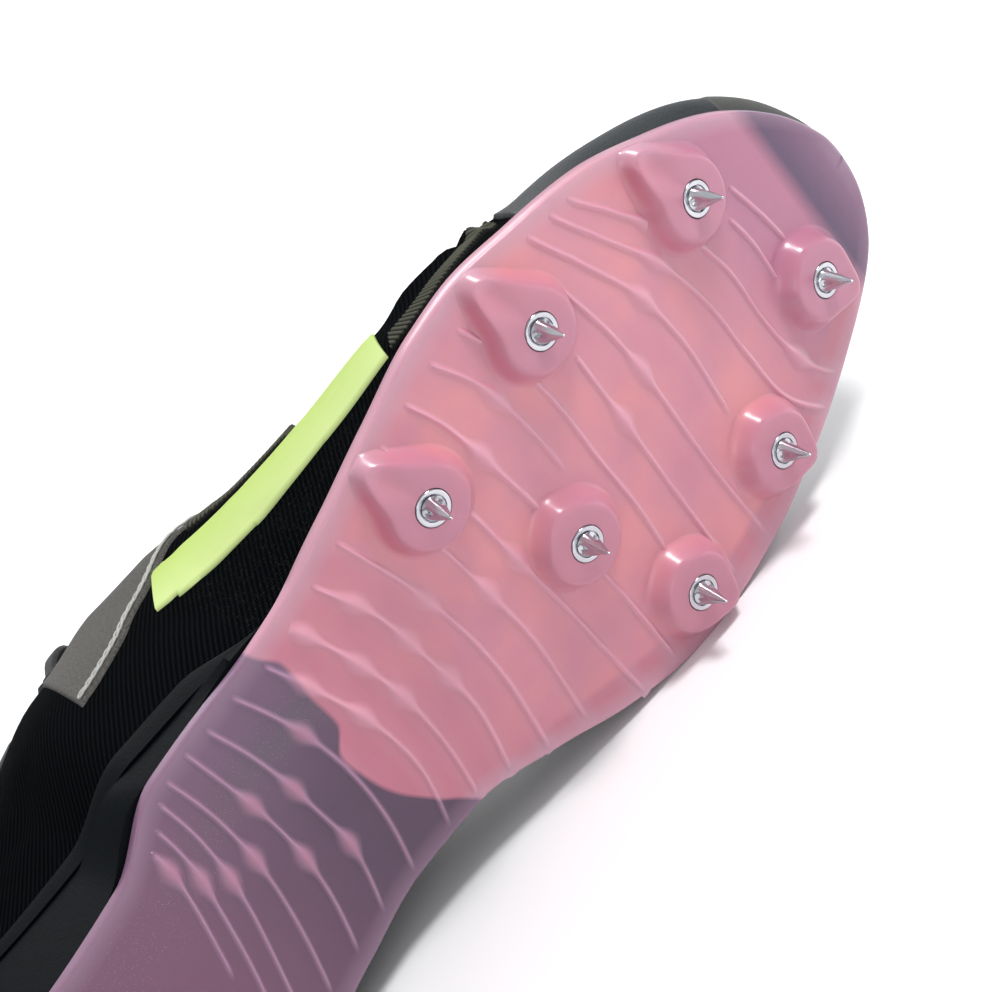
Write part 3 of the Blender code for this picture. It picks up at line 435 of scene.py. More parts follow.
# The plate's ribs, in millimetres from the ball: how far towards the toe each is at RIB_PLACES
# across the sole, the two places across where it ends, and the places of its long swellings
RIB_PLACES = (40, 30, 15, 0, -15, -30, -45)
RIBS = (
    ((52, 60, 69.5, 73.5, 75, 76.5, 78), 9.5, -10.5, ()),
    ((52, 58, 64.5, 68, 67.5, 68, 70), 5.5, -15.5, ()),
    ((45, 50, 56.5, 60, 59.5, 61.5, 70), 9, -38.5, (-27,)),
    ((42, 48, 55.5, 58, 59, 60, 62), 38, 18.5, (20,)),
    ((38, 42.5, 49, 52, 52, 53, 61.5), 39, -41, (15,)),
    ((32.5, 36.5, 41.5, 43, 41.5, 39.5, 38), 40, -21, (12.5,)),
    ((28, 30.5, 32.5, 32.5, 31.5, 31, 31), 28.5, -45, (3.5,)),
    ((26, 25.5, 24.5, 23.5, 22.5, 21.5, 20.5), 17, -45, (0,)),
    ((11.5, 14.5, 16, 15, 14.5, 12.5, 10.5), 40, -28, (27.5,)),
    ((3.5, 7.5, 9, 8.5, 8, 7.5, 7), 40, 3, (25.5,)),
    ((-5, -2, -0.5, 0.5, 1, 1, 0.5), 38.5, -45, (20,)),
    ((-13.5, -11.5, -9.5, -9, -8.5, -8.5, -8.5), 36.5, -45, (0,)),
    ((-22.5, -20, -17.5, -17, -17, -19, -21.5), 33, -38, (0,)),
    ((-32, -29.5, -26.5, -25, -25.5, -28, -31), 30.5, -36, (9,)),
    ((-42, -38.5, -34, -33, -33, -36.5, -41.5), 28, -33, (19.5, 6, -6)),
    ((-51, -47, -43, -41, -41.5, -44.5, -49), 26, -31, (23, 10, -1.5)),
    ((-59, -55, -51, -48, -48, -52.5, -58), 25, -30, (16, 2.5)),
    ((-67, -62.5, -58.5, -57, -58.5, -63, -69), 26, -30, (10,)),
    ((-71, -69, -66.5, -66, -67, -72.5, -80), 26, -29.5, (4, -13)),
    ((-76, -74, -73, -73, -75.5, -81, -88), 27, -29.5, (9.5, -6.5)),
    ((-80.5, -79.5, -78.5, -80, -84, -90, -98), 27, -29, (2.5,)),
    ((-83.5, -83, -83, -86, -91.5, -98, -106), 25.5, -28, (4.5,)),
    ((-86, -86.5, -87, -91, -96.5, -104, -112), 23, -18, (9.5,)),
    ((-89, -89.5, -90.5, -95, -101, -109, -117), 21.5, -8, (16,)),
)
RIB_HALF = 1.0 * MM
RIB_HEIGHT = 0.55 * MM
RIB_BELL = 0.44 * MM
SWELL_HALF_LENGTH = 6.0 * MM
SWELL_WIDER = 1.9
SWELL_TALLER = 0.9
RIB_STEP = 0.6 * MM

# The cushion as it shows through the plate, in millimetres from the ball
PAD_REAR_LINE = (
    (-31.0, -44.5), (-29.4, -45.5), (-23.5, -49.6), (-14.3, -54.3), (-5.6, -56.0), (0.5, -56.0),
    (4.9, -52.4), (13.1, -52.1), (22.4, -51.2), (26.5, -53.3), (30.0, -54.5),
)
PAD_FRONT_Y = 83.0 * MM
PAD_MEDIAL_MARGIN = 8.0 * MM
EDGE_BAND = 2.6 * MM
BEAD_HEIGHT = 0.12 * MM

# Lines on the lateral wall of the upper: share of the length, share of the wall's height
LIME_LINE = ((0.656, 0.205), (0.560, 0.325), (0.458, 0.470))
LIME_HALF = 6.6 * MM
CORD_LINE = (
    (0.767, 0.275), (0.750, 0.235), (0.724, 0.165), (0.698, 0.124), (0.675, 0.116),
    (0.657, 0.122),
)
CORD_HALF = 2.3 * MM
HIGH_CORD_LINE = ((0.600, 0.480), (0.584, 0.520), (0.560, 0.560), (0.540, 0.605), (0.522, 0.640))
HIGH_CORD_HALF = 3.0 * MM
CHAIN_LINE = (
    (0.534, 0.690), (0.529, 0.655), (0.513, 0.640), (0.485, 0.580), (0.458, 0.514), (0.436, 0.467),
    (0.414, 0.400), (0.385, 0.350), (0.365, 0.330),
)
NET_LINE = (
    (0.456, 0.440), (0.495, 0.310), (0.529, 0.240), (0.560, 0.170), (0.589, 0.145), (0.636, 0.110),
    (0.660, 0.060), (0.701, 0.070), (0.748, 0.190), (0.765, 0.240),
)

# Folds of the upper: from and to (share of the length, share of the wall's height), half width, depth
FOLDS = (
    ((0.790, 0.34), (0.660, 0.30), 4.0 * MM, 2.2 * MM, 0),
    ((0.560, 0.62), (0.370, 0.84), 9.0 * MM, 1.8 * MM, 0),
    ((0.768, 0.10), (0.752, 0.62), 1.7 * MM, -1.0 * MM, 0),
    ((0.757, 0.16), (0.740, 0.60), 1.6 * MM, 0.8 * MM, 0),
    ((0.747, 0.20), (0.726, 0.66), 1.6 * MM, -0.9 * MM, 0),
    ((0.735, 0.26), (0.712, 0.70), 1.8 * MM, 0.6 * MM, 0),
    ((0.716, 0.34), (0.700, 0.80), 2.4 * MM, -0.6 * MM, 0),
    ((0.560, 0.06), (0.520, 0.30), 3.0 * MM, -0.4 * MM, 1),
    ((0.470, 0.10), (0.440, 0.36), 3.2 * MM, -0.5 * MM, 1),
    ((0.330, 0.55), (0.250, 0.30), 4.0 * MM, -0.7 * MM, 1),
    ((0.300, 0.80), (0.230, 0.55), 3.4 * MM, -0.6 * MM, 1),
)


def palette(red, green, blue):
    """A display colour from 0 to 255 as the linear colour that a shader takes."""
    parts = [c / 255 for c in (red, green, blue)]
    return tuple(p / 12.92 if p <= 0.04045 else ((p + 0.055) / 1.055) ** 2.4 for p in parts) + (1.0,)


def placement(record):
    """Where the shoe's own frame stands in the row frame, from the ground face of its heel."""
    mount = next(m for m in record["mounts"] if m["name"] == "heel_ground_face")
    up = -Vector(mount["axis"]).normalized()
    ahead = Vector((0, up.z, -up.y)).normalized()
    turn = Matrix((ahead.cross(up), ahead, up)).transposed()
    place = turn.to_4x4()
    place.translation = Vector(mount["pos_m"]) - turn @ HEEL_GROUND
    return place


HEEL_GROUND = Vector((-5.0, -149.5, -11.2)) * MM
PLACE = placement(frame["record"])


class Look:
    """One material, with short ways to add nodes to it."""

    def __init__(self, name, **settings):
        self.material = bpy.data.materials.new(name)
        self.material.use_nodes = True
        self.tree = self.material.node_tree
        self.shader = self.tree.nodes["Principled BSDF"]
        for key, value in settings.items():
            self.set(key, value)

    def set(self, key, value):
        self.join(value, self.shader.inputs[key.replace("_", " ").title().replace("Ior", "IOR")])

    def join(self, value, socket):
        if isinstance(value, bpy.types.NodeSocket):
            self.tree.links.new(value, socket)
        else:
            socket.default_value = value

    def node(self, kind, inputs=(), out=0, **settings):
        made = self.tree.nodes.new(kind)
        for key, value in settings.items():
            setattr(made, key, value)
        for key, value in dict(inputs).items():
            self.join(value, made.inputs[key])
        return made.outputs[out]

    def stored(self, name, kind="Fac"):
        """A value or vector that the mesh stores for each point."""
        return self.node("ShaderNodeAttribute", attribute_name=name, out=kind)

    def scaled(self, vector, by):
        return self.node("ShaderNodeMapping", {"Vector": vector, "Scale": by})

    def turned(self, vector, degrees, by=(1, 1, 1)):
        turn = (0, 0, math.radians(degrees))
        return self.node("ShaderNodeMapping", {"Vector": vector, "Rotation": turn, "Scale": by})

    def noise(self, vector, scale, detail=2.0, roughness=0.5):
        where = {"Vector": vector, "Scale": scale, "Detail": detail, "Roughness": roughness}
        return self.node("ShaderNodeTexNoise", where)

    def cells(self, vector, scale, out="Distance", **settings):
        return self.node("ShaderNodeTexVoronoi", {"Vector": vector, "Scale": scale}, out, **settings)

    def waves(self, vector, scale, distortion=0.0, **settings):
        where = {"Vector": vector, "Scale": scale, "Distortion": distortion, "Detail": 1.0}
        return self.node("ShaderNodeTexWave", where, "Fac", **settings)

    def remap(self, value, low, high, to_low=0.0, to_high=1.0):
        ends = {"Value": value, "From Min": low, "From Max": high, "To Min": to_low, "To Max": to_high}
        return self.node("ShaderNodeMapRange", ends)

    def maths(self, operation, first, second=0.0):
        return self.node("ShaderNodeMath", {0: first, 1: second}, operation=operation)

    def blend(self, factor, low, high):
        inputs = {0: factor, 6: low, 7: high}
        return self.node("ShaderNodeMix", inputs, 2, data_type="RGBA")

    def bump(self, height, distance, strength=1.0, under=None):
        inputs = {"Height": height, "Distance": distance, "Strength": strength}
        if under is not None:
            inputs["Normal"] = under
        return self.node("ShaderNodeBump", inputs)


def quads(rows, cols, wrap=False, wrap_across=False):
    """Faces of a grid of points. wrap joins its last row to its first."""
    r = np.arange(rows if wrap else rows - 1)[:, None]
    c = np.arange(cols if wrap_across else cols - 1)[None]
    r_next, c_next = (r + 1) % rows, (c + 1) % cols
    corners = r * cols + c, r * cols + c_next, r_next * cols + c_next, r_next * cols + c
    return np.stack(np.broadcast_arrays(*corners), -1).reshape(-1, 4)


def shell(outer, inner, values=None, wrap=False, last_open=None):
    """A closed form between two grids of one size. last_open says which rows end in an open edge."""
    rows, cols = outer.shape[:2]
    count = rows * cols
    faces = [quads(rows, cols, wrap), quads(rows, cols, wrap)[:, ::-1] + count]
    row = np.arange(rows if wrap else rows - 1)
    for end in (0, cols - 1):
        here, there = row * cols + end, (row + 1) % rows * cols + end
        rim = np.stack([here, there, there + count, here + count], -1)
        if end and last_open is not None:
            rim = rim[last_open[row] | last_open[(row + 1) % rows]]
        faces.append(rim)
    if not wrap:
        across = np.arange(cols - 1)
        for start in (0, (rows - 1) * cols):
            here = start + across
            faces.append(np.stack([here, here + 1, here + 1 + count, here + count], -1))
    points = np.concatenate([outer.reshape(-1, 3), inner.reshape(-1, 3)])
    kept = {}
    for key, value in (values or {}).items():
        flat = np.asarray(value, float).reshape(count, -1)
        kept[key] = np.concatenate([flat, flat])
    return points, np.concatenate(faces), kept


def tube(path, across, up, half_width, half_height, sides=10, values=None, square=1.0):
    """A form swept along a path, an oval across it, with its two ends closed."""
    turn = np.linspace(0, 2 * np.pi, sides, endpoint=False)
    wide = np.sign(np.cos(turn)) * np.abs(np.cos(turn)) ** square
    tall = np.sign(np.sin(turn)) * np.abs(np.sin(turn)) ** square
    half_width = np.broadcast_to(half_width, len(path))[:, None, None]
    half_height = np.broadcast_to(half_height, len(path))[:, None, None]
    ring = path[:, None] + across[:, None] * wide[None, :, None] * half_width
    ring = ring + up[:, None] * tall[None, :, None] * half_height
    rows = len(path)
    points = np.concatenate([ring.reshape(-1, 3), path[:1], path[-1:]])
    faces = quads(rows, sides, wrap_across=True).tolist()
    first, last = rows * sides, rows * sides + 1
    for k in range(sides):
        after = (k + 1) % sides
        faces.append([first, after, k])
        faces.append([last, (rows - 1) * sides + k, (rows - 1) * sides + after])
    kept = {}
    for key, value in (values or {}).items():
        value = np.asarray(value, float)
        rows_of = np.repeat(value[:, None], sides, 1).reshape(rows * sides, -1)
        kept[key] = np.concatenate([rows_of, value[:1].reshape(1, -1), value[-1:].reshape(1, -1)])
    return points, faces, kept


def add_piece(name, forms, look, replaces=(), smooth=50, flat=False):
    """One piece of the shoe, from forms in the shoe's frame, each points, faces and stored values."""
    points, faces, stored = [], [], {}
    for form_points, form_faces, values in forms:
        start = sum(len(p) for p in points)
        points.append(np.asarray(form_points, float))
        faces += [[int(c) + start for c in face] for face in form_faces]
        for key, value in values.items():
            stored.setdefault(key, []).append(value)
    points = np.concatenate(points)
    turn = np.array(PLACE.to_3x3())
    world = points @ turn.T + np.array(PLACE.translation)
    mesh = bpy.data.meshes.new(name)
    mesh.from_pydata(world.tolist(), [], faces)
    stored["shoe"] = [points]
    for key, value in stored.items():
        value = np.concatenate(value)
        kind = "FLOAT_VECTOR" if value.shape[1] > 1 else "FLOAT"
        layer = mesh.attributes.new(key, kind, "POINT")
        if value.shape[1] == 2:
            value = np.concatenate([value, np.zeros((len(value), 1))], 1)
        layer.data.foreach_set("vector" if kind == "FLOAT_VECTOR" else "value", value.ravel())
    tidy = bmesh.new()
    tidy.from_mesh(mesh)
    bmesh.ops.remove_doubles(tidy, verts=tidy.verts, dist=1e-6)
    bmesh.ops.dissolve_degenerate(tidy, dist=1e-7, edges=tidy.edges)
    bmesh.ops.recalc_face_normals(tidy, faces=tidy.faces)
    tidy.to_mesh(mesh)
    tidy.free()
    if not flat:
        mesh.shade_smooth()
        mesh.set_sharp_from_angle(angle=math.radians(smooth))
    mesh.materials.append(look.material)
    piece = bpy.data.objects.new(name, mesh)
    bpy.context.scene.collection.objects.link(piece)
    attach(piece, "root")
    if replaces:
        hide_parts(*replaces)
    return piece


# Surfaces of the upper


def fold_relief(share, v):
    """Depth of the folds at a place on the wall."""
    relief = np.zeros(np.broadcast(share, v).shape)
    for (s0, v0), (s1, v1), half, depth, _ in FOLDS:
        run, rise = (s1 - s0) * SOLE_LENGTH, (v1 - v0) * WALL_LENGTH
        x, y = (share - s0) * SOLE_LENGTH, (v - v0) * WALL_LENGTH
        length = math.hypot(run, rise)
        t = (x * run + y * rise) / length / length
        off = (x * rise - y * run) / length
        ends = fade(0.0, 0.3, t) * fade(1.0, 0.7, t)
        relief += depth * ends * np.exp(-((off / half) ** 2))
    return relief


WALL_LENGTH = 72 * MM


def surface(side, angle, v, lift=0.0):
    """The upper's surface with its folds, lift above it."""
    angle, v = np.broadcast_arrays(np.asarray(angle, float), np.asarray(v, float))
    normal = wall_normal(side, angle, v)
    relief = fold_relief(share_of(angle), v) if side == LATERAL else 0.5 * fold_relief(share_of(angle), v)
    return wall_point(side, angle, v) + normal * (np.asarray(lift) + relief)[..., None]


def ring_surface(angles, v_low, v_high, steps, lift=0.0):
    """Both sides of the upper as one band of rows, up the lateral side's stations and back down."""
    t = np.linspace(0, 1, steps + 1)[None]
    grids, shares, heights = [], [], []
    for side, order in ((LATERAL, slice(None)), (MEDIAL, slice(None, None, -1))):
        low, high = np.asarray(v_low)[order], np.asarray(v_high)[order]
        a = np.repeat(np.asarray(angles)[order][:, None], steps + 1, 1)
        v = low[:, None] * (1 - t) + high[:, None] * t
        grids.append(surface(side, a, v, lift))
        shares.append(share_of(a))
        heights.append(v)
    return np.concatenate(grids), np.concatenate(shares), np.concatenate(heights)


def weave_place(share, v, points):
    """Millimetres along and up the wall, for the weave of a fabric."""
    return np.stack([points[..., 1] / MM, v * WALL_LENGTH / MM], -1)


def line_on_wall(table, step):
    """A smooth line on the wall through a table of (share, v), as angles and v, step apart."""
    table = np.asarray(table, float)
    places = np.linspace(0, 1, len(table))
    fine = np.linspace(0, 1, 400)
    angle = spline(places, angle_of(table[:, 0]), fine)
    v = spline(places, table[:, 1], fine)
    points = surface(LATERAL, angle, v)
    run = np.concatenate([[0], np.cumsum(np.linalg.norm(np.diff(points, axis=0), axis=1))])
    at = np.linspace(0, run[-1], max(3, int(run[-1] / step) + 1))
    return np.interp(at, run, angle), np.interp(at, run, v), at


def spline(places, values, at):
    """A smooth curve through values, by Catmull and Rom."""
    values = np.asarray(values, float)
    ends = np.concatenate([2 * values[:1] - values[1:2], values, 2 * values[-1:] - values[-2:-1]])
    k = np.clip(np.searchsorted(places, at, side="right") - 1, 0, len(places) - 2)
    t = (at - places[k]) / (places[k + 1] - places[k])
    p0, p1, p2, p3 = ends[k], ends[k + 1], ends[k + 2], ends[k + 3]
    if values.ndim > 1:
        t = t[:, None]
    return 0.5 * (
        2 * p1 + (p2 - p0) * t + (2 * p0 - 5 * p1 + 4 * p2 - p3) * t**2 + (3 * p1 - p0 - 3 * p2 + p3) * t**3
    )


def beside(angle, v, offsets, slant=0.0):
    """Places on the wall across a line on it: for each offset, the angles and v there.

    slant moves each place along the line by so much of its offset, which slants the ends.
    """
    e = 2e-3
    along_a = (wall_point(LATERAL, angle + e, v) - wall_point(LATERAL, angle - e, v)) / (2 * e)
    along_v = (wall_point(LATERAL, angle, v + e) - wall_point(LATERAL, angle, v - e)) / (2 * e)
    path = wall_point(LATERAL, angle, v)
    tangent = np.gradient(path, axis=0)
    tangent /= np.linalg.norm(tangent, axis=1, keepdims=True)
    normal = wall_normal(LATERAL, angle, v)
    across = np.cross(normal, tangent)
    angles, heights = [], []
    for offset in offsets:
        move = across * offset + tangent * offset * slant
        aa, vv = (along_a * along_a).sum(1), (along_v * along_v).sum(1)
        av = (along_a * along_v).sum(1)
        ma, mv = (move * along_a).sum(1), (move * along_v).sum(1)
        whole = aa * vv - av * av
        angles.append(angle + (ma * vv - mv * av) / whole)
        heights.append(v + (mv * aa - ma * av) / whole)
    return np.stack(angles, 1), np.stack(heights, 1)


def strip_on_wall(table, half, step, steps, lift, thickness, slant=0.0, ribs=None):
    """A band of constant width on the lateral wall, with its edges rounded off.

    ribs is the pitch, height and slant of ridges across it.
    """
    angle, v, run = line_on_wall(table, step)
    across = np.linspace(-1, 1, steps + 1)
    a, vv = beside(angle, v, across * half, slant)
    rim = np.clip((1 - np.abs(across)) * half / (0.45 * MM), 0, 1)
    height = lift + thickness * np.sqrt(1 - (1 - rim) ** 2)[None] + 0 * a
    along_run = run[:, None] + across[None] * half * slant
    ridge = np.ones_like(a)
    if ribs:
        pitch, tall, lean = ribs
        phase = (run[:, None] + across[None] * half * lean) / pitch
        ridge = (0.5 + 0.5 * np.cos(2 * np.pi * phase)) ** 0.6 * rim[None]
        height = height + tall * ridge
    outer = surface(LATERAL, a, vv, height)
    inner = surface(LATERAL, a, vv, -0.3 * MM)
    place = np.stack([along_run / MM, across[None] * half / MM + 0 * along_run], -1)
    return shell(outer, inner, {"weave": place, "ridge": ridge})


# Sole


def lateral_gap(x, y):
    return edge_x[LATERAL](share_at(y)) - x


def medial_gap(x, y):
    return x - edge_x[MEDIAL](share_at(y))


def edge_gap(x, y):
    """Distance in from the nearer edge of the sole, across."""
    toe_gap = along(1.0) - y
    return np.minimum(np.minimum(lateral_gap(x, y), medial_gap(x, y)), toe_gap)


def pad_gaps(x, y):
    """Distances in from the edges of the cushion that shows through the plate, in millimetres."""
    line = np.array(PAD_REAR_LINE) * MM
    order = np.argsort(line[:, 0])
    rear = spline_through(line[order, 0], line[order, 1], x)
    margin = 2.5 * MM + (PAD_MEDIAL_MARGIN - 2.5 * MM) * fade(-45 * MM, -10 * MM, y)
    gaps = y - rear, PAD_FRONT_Y - y, medial_gap(x, y) - margin
    return [np.clip(gap / MM, -12, 12) for gap in gaps]


def spline_through(places, values, at):
    """A smooth curve through a table, read at any place between its ends."""
    at = np.clip(at, places[0], places[-1])
    flat = spline(places, values, np.ravel(at))
    return flat.reshape(np.shape(at))


def near_ribs(x, y):
    """Distance to the nearest rib's middle line."""
    best = np.full(np.shape(x), 1.0)
    for rib in RIBS:
        line = rib_line(rib)[0]
        for k in range(0, len(line) - 1, 3):
            end = line[min(k + 3, len(line) - 1)]
            run = end - line[k]
            t = np.clip(((x - line[k, 0]) * run[0] + (y - line[k, 1]) * run[1]) / (run @ run), 0, 1)
            away = np.hypot(x - line[k, 0] - run[0] * t, y - line[k, 1] - run[1] * t)
            best = np.minimum(best, away)
    return best


def rib_line(rib):
    """A rib's middle line and how far along it each point is."""
    ahead, start, end, _ = rib
    x = np.linspace(start, end, 200)
    y = spline_through(-np.array(RIB_PLACES, float), np.array(ahead, float), -x)
    fine = np.stack([x, y], 1) * MM
    run = np.concatenate([[0], np.cumsum(np.linalg.norm(np.diff(fine, axis=0), axis=1))])
    at = np.linspace(0, run[-1], max(4, int(run[-1] / RIB_STEP)))
    line = np.stack([np.interp(at, run, fine[:, k]) for k in (0, 1)], 1)
    return line, at


def plate_values(x, y, crest=0.0):
    """What the plate's material needs at a place: distances in millimetres, and how far up a form it is, which the
    material paints paler as a highlight.
    """
    rear, front, medial = pad_gaps(x, y)
    return {
        "pad_rear": rear,
        "pad_front": front,
        "pad_medial": medial,
        "edge_gap": np.clip(edge_gap(x, y) / MM, -5, 20),
        "rib_gap": np.clip(near_ribs(x, y) / MM, 0, 12),
        "crest": np.broadcast_to(crest, np.shape(x)),
    }


def make_plate(look):
    """The thin plate: rounded edge, a fine bead along it and a rim round the forefoot on its inner side."""
    angles = np.linspace(0, np.pi, 261)
    insets = np.array([0.0, 0.08, 0.22, 0.42, 0.66, 1.0, 1.5, 2.1, 2.8, 3.6]) * MM
    lift = np.array([0.62, 0.30, 0.12, 0.03, 0.0, 0.0, 0.05, 0.10, 0.12, 0.12]) * MM
    flat, rings = plan_rings(angles, insets, 64)
    x, y = flat[..., 0], flat[..., 1]
    low = sole_z(x, y) + lift[rings][None] - BEAD_HEIGHT
    lip = fade(FOAM_FRONT, FOAM_FRONT + 0.05, share_at(y)) * RIM_HEIGHT
    rim = np.interp(insets, [0, 0.3 * MM, RIM_WIDTH, RIM_WIDTH + RIM_SLOPE], [0.75, 1, 1, 0])
    high = sole_z(x, y) + PLATE_THICKNESS + lip * rim[rings][None]
    low_grid = np.concatenate([flat, low[..., None]], -1)
    high_grid = np.concatenate([flat, high[..., None]], -1)
    form = shell(low_grid, high_grid, plate_values(x, y))
    add_piece("sole_plate", [form], look, ["outsole_plate"], smooth=60)


def plan_rings(angles, insets, columns):
    """The sole's plan as lines along it, insets in from each edge and then columns across."""
    lateral = [plan_edge(LATERAL, angles, i)[0] for i in insets]
    medial = [plan_edge(MEDIAL, angles, i)[0] for i in insets]
    t = np.linspace(0, 1, columns + 1)
    lines = lateral[:-1] + [lateral[-1] * (1 - k) + medial[-1] * k for k in t] + medial[-2::-1]
    rings = list(range(len(insets) - 1)) + [len(insets) - 1] * (columns + 1)
    rings += list(range(len(insets) - 2, -1, -1))
    return np.stack(lines, 1), np.array(rings)


def on_plate(x, y, height):
    """Points proud of the plate's outer face by height."""
    x, y = np.broadcast_arrays(x, y)
    e = 0.5 * MM
    dx = (sole_z(x + e, y) - sole_z(x - e, y)) / (2 * e)
    dy = (sole_z(x, y + e) - sole_z(x, y - e)) / (2 * e)
    way = np.stack([dx, dy, -np.ones_like(dx)], -1)
    way /= np.linalg.norm(way, axis=-1, keepdims=True)
    return np.stack([x, y, sole_z(x, y)], -1) + way * np.asarray(height)[..., None]


def make_ribs(look):
    """Fine ridges across the plate, some with long swellings where they cross the cushion's middle."""
    forms = []
    across = np.linspace(-1, 1, 11)
    for rib in RIBS:
        line, run = rib_line(rib)
        tangent = np.gradient(line, axis=0)
        tangent /= np.linalg.norm(tangent, axis=1, keepdims=True)
        aside = np.stack([-tangent[:, 1], tangent[:, 0]], 1)
        swell = np.zeros(len(run))
        for place in rib[3]:
            off = np.clip(np.abs(line[:, 0] - place * MM) / SWELL_HALF_LENGTH, 0, 1)
            swell += (0.5 + 0.5 * np.cos(np.pi * off)) ** 1.3
        ends = fade(0, 1.2 * MM, run) * fade(run[-1], run[-1] - 4.5 * MM, run)
        wide = (1 + SWELL_WIDER * swell)[:, None]
        tall = (RIB_HEIGHT * (1 + SWELL_TALLER * swell) * ends)[:, None]
        off = across[None] * RIB_HALF * wide
        plan = line[:, None] + aside[:, None] * off[..., None]
        bell = np.exp(-((off / (RIB_BELL * wide)) ** 2))
        bell = bell - np.exp(-((RIB_HALF / RIB_BELL) ** 2))
        x, y = plan[..., 0], plan[..., 1]
        outer = on_plate(x, y, tall * bell - 0.015 * MM)
        inner = on_plate(x, y, np.full_like(x, -0.5 * MM))
        # The crest value paints the rib's top paler: a painted highlight.
        values = plate_values(x, y, bell * np.minimum(1, tall / RIB_HEIGHT))
        values["swell"] = swell[:, None] * bell
        forms.append(shell(outer, inner, values))
    add_piece("sole_ribs", forms, look, smooth=70)


def tail_part(turn, tail):
    """1 on the hollow side of a pod's tail and 0 on the rest of its flank."""
    off = (turn - tail + np.pi) % (2 * np.pi) - np.pi
    return fade(0.25, -0.25, off) * fade(-2.4, -1.6, off)


def pod_outline(radius, more, tails, turn):
    """Distance from a pod's middle to its outline, whose tails are straight ahead and hollow behind."""
    out = np.full_like(turn, radius)
    for tail_degrees, reach in tails:
        reach += more
        off = (turn - math.radians(tail_degrees) + np.pi) % (2 * np.pi) - np.pi
        half = math.acos(radius / reach)
        ahead = (off >= 0) & (off < half)
        behind = (off < 0) & (off > -TAIL_HOLLOW)
        out[ahead] = np.maximum(out[ahead], radius / np.cos(half - off[ahead]))
        hollow = radius + (reach - radius) * (1 + off[behind] / TAIL_HOLLOW) ** 2
        out[behind] = np.maximum(out[behind], hollow)
    ends = np.concatenate([out[-TIP_SOFTENS:], out, out[:TIP_SOFTENS]])
    weights = np.hanning(2 * TIP_SOFTENS + 3)[1:-1]
    return np.convolve(ends, weights / weights.sum(), "valid")


TAIL_HOLLOW = math.radians(48)
TIP_SOFTENS = 4
POD_TAILS = (
    # each tail's direction in degrees from the lateral side towards the toe, and its length
    ((-12, 17.6 * MM),),
    ((150, 11.6 * MM), (2, 8.6 * MM)),
    ((-10, 17.8 * MM),),
    ((150, 10.6 * MM), (2, 8.8 * MM)),
    ((-14, 16.2 * MM),),
    ((0, 9.0 * MM),),
    ((154, 10.6 * MM), (2, 8.6 * MM)),
)
POD_CROWN = 7.6 * MM
POD_FOOT = 10.6 * MM
POD_LEVELS = (
    # share of the way from the top's outline to the base's, share of the height
    (-0.55, 1.000), (-0.30, 1.000), (-0.14, 1.000), (-0.07, 0.994), (-0.02, 0.976), (0.04, 0.940),
    (0.11, 0.880), (0.19, 0.800), (0.28, 0.690), (0.38, 0.560), (0.49, 0.415), (0.60, 0.275),
    (0.71, 0.155), (0.82, 0.070), (0.92, 0.020), (1.00, 0.0),
)


def make_pods(look):
    """The mounts of the pins: flat tops and a pointed tail towards the sole's edge."""
    forms = []
    turn = np.linspace(0, 2 * np.pi, 96, endpoint=False)
    for (x, y, _, _), tails in zip(SPIKES, POD_TAILS):
        top = pod_outline(POD_CROWN, 0.0, tails, turn)
        base = pod_outline(POD_FOOT, 3.0 * MM, tails, turn)
        past = np.clip((top - POD_CROWN) / (9 * MM), 0, 1)
        rows, tall = [], []
        seat = np.full_like(turn, FLANGE_RADIUS + 0.15 * MM)
        for part, share in POD_LEVELS:
            inner_most = seat if part == POD_LEVELS[0][0] else None
            radius = top + (base - top) * part if part >= 0 else top * (1 + part)
            radius = inner_most if inner_most is not None else radius
            reach_in = np.clip((radius - 0.55 * POD_CROWN) / (0.45 * POD_CROWN), 0, 1)
            fall = 1 - 0.42 * past**2 * reach_in
            rows.append(radius)
            tall.append(POD_HEIGHT * share * fall)
        radius, height = np.stack(rows, 1), np.stack(tall, 1)
        px = x + radius * np.cos(turn)[:, None]
        py = y + radius * np.sin(turn)[:, None]
        gap = edge_gap(px, py)
        inside = np.clip(gap / (0.8 * MM), -4, 1)
        px = np.where(gap < 0.3 * MM, px + np.sign(-px) * (0.3 * MM - gap), px)
        middle = on_plate(np.array(x), np.array(y), np.array(1.0)) - on_plate(np.array(x), np.array(y), np.array(0.0))
        floor = on_plate(px, py, np.full_like(px, -0.02 * MM))
        outer = floor + middle * height[..., None]
        inner = on_plate(px, py, np.full_like(px, -0.9 * MM))
        crest = height / POD_HEIGHT
        # A share of the crest paints the pod's top paler: a painted highlight.
        values = plate_values(px, py, 0.35 * crest)
        values["pod"] = crest
        # The hollow value paints the flanks darker, most behind the tail: painted shade.
        flank = np.exp(-(((crest - 0.42) / 0.30) ** 2))
        behind = tail_part(turn, math.radians(tails[0][0]))[:, None]
        values["hollow"] = flank * (0.2 + 0.8 * behind * (past.max() > 0.5))
        forms.append(shell(outer, inner, values, wrap=True))
    add_piece("spike_pods", forms, look, smooth=55)


PIN_OUTLINE = (
    # radius and height above the pod's top, millimetres
    (0, -1.2), (3.50, -1.2), (3.50, -0.08), (3.47, 0.06), (3.38, 0.15), (3.26, 0.19), (2.70, 0.15),
    (2.62, 0.12), (2.58, -0.10), (2.54, -0.22), (2.48, -0.22), (2.44, -0.10), (2.42, 0.05), (2.38, 0.20),
    (2.30, 0.40), (2.16, 0.78), (1.98, 1.30), (1.72, 2.02), (1.38, 3.00), (1.00, 4.15),
    (0.64, 5.30), (0.36, 6.22), (0.27, 6.50), (0.15, 6.66), (0, 6.70),
)
PIN_FACETS = 0.26


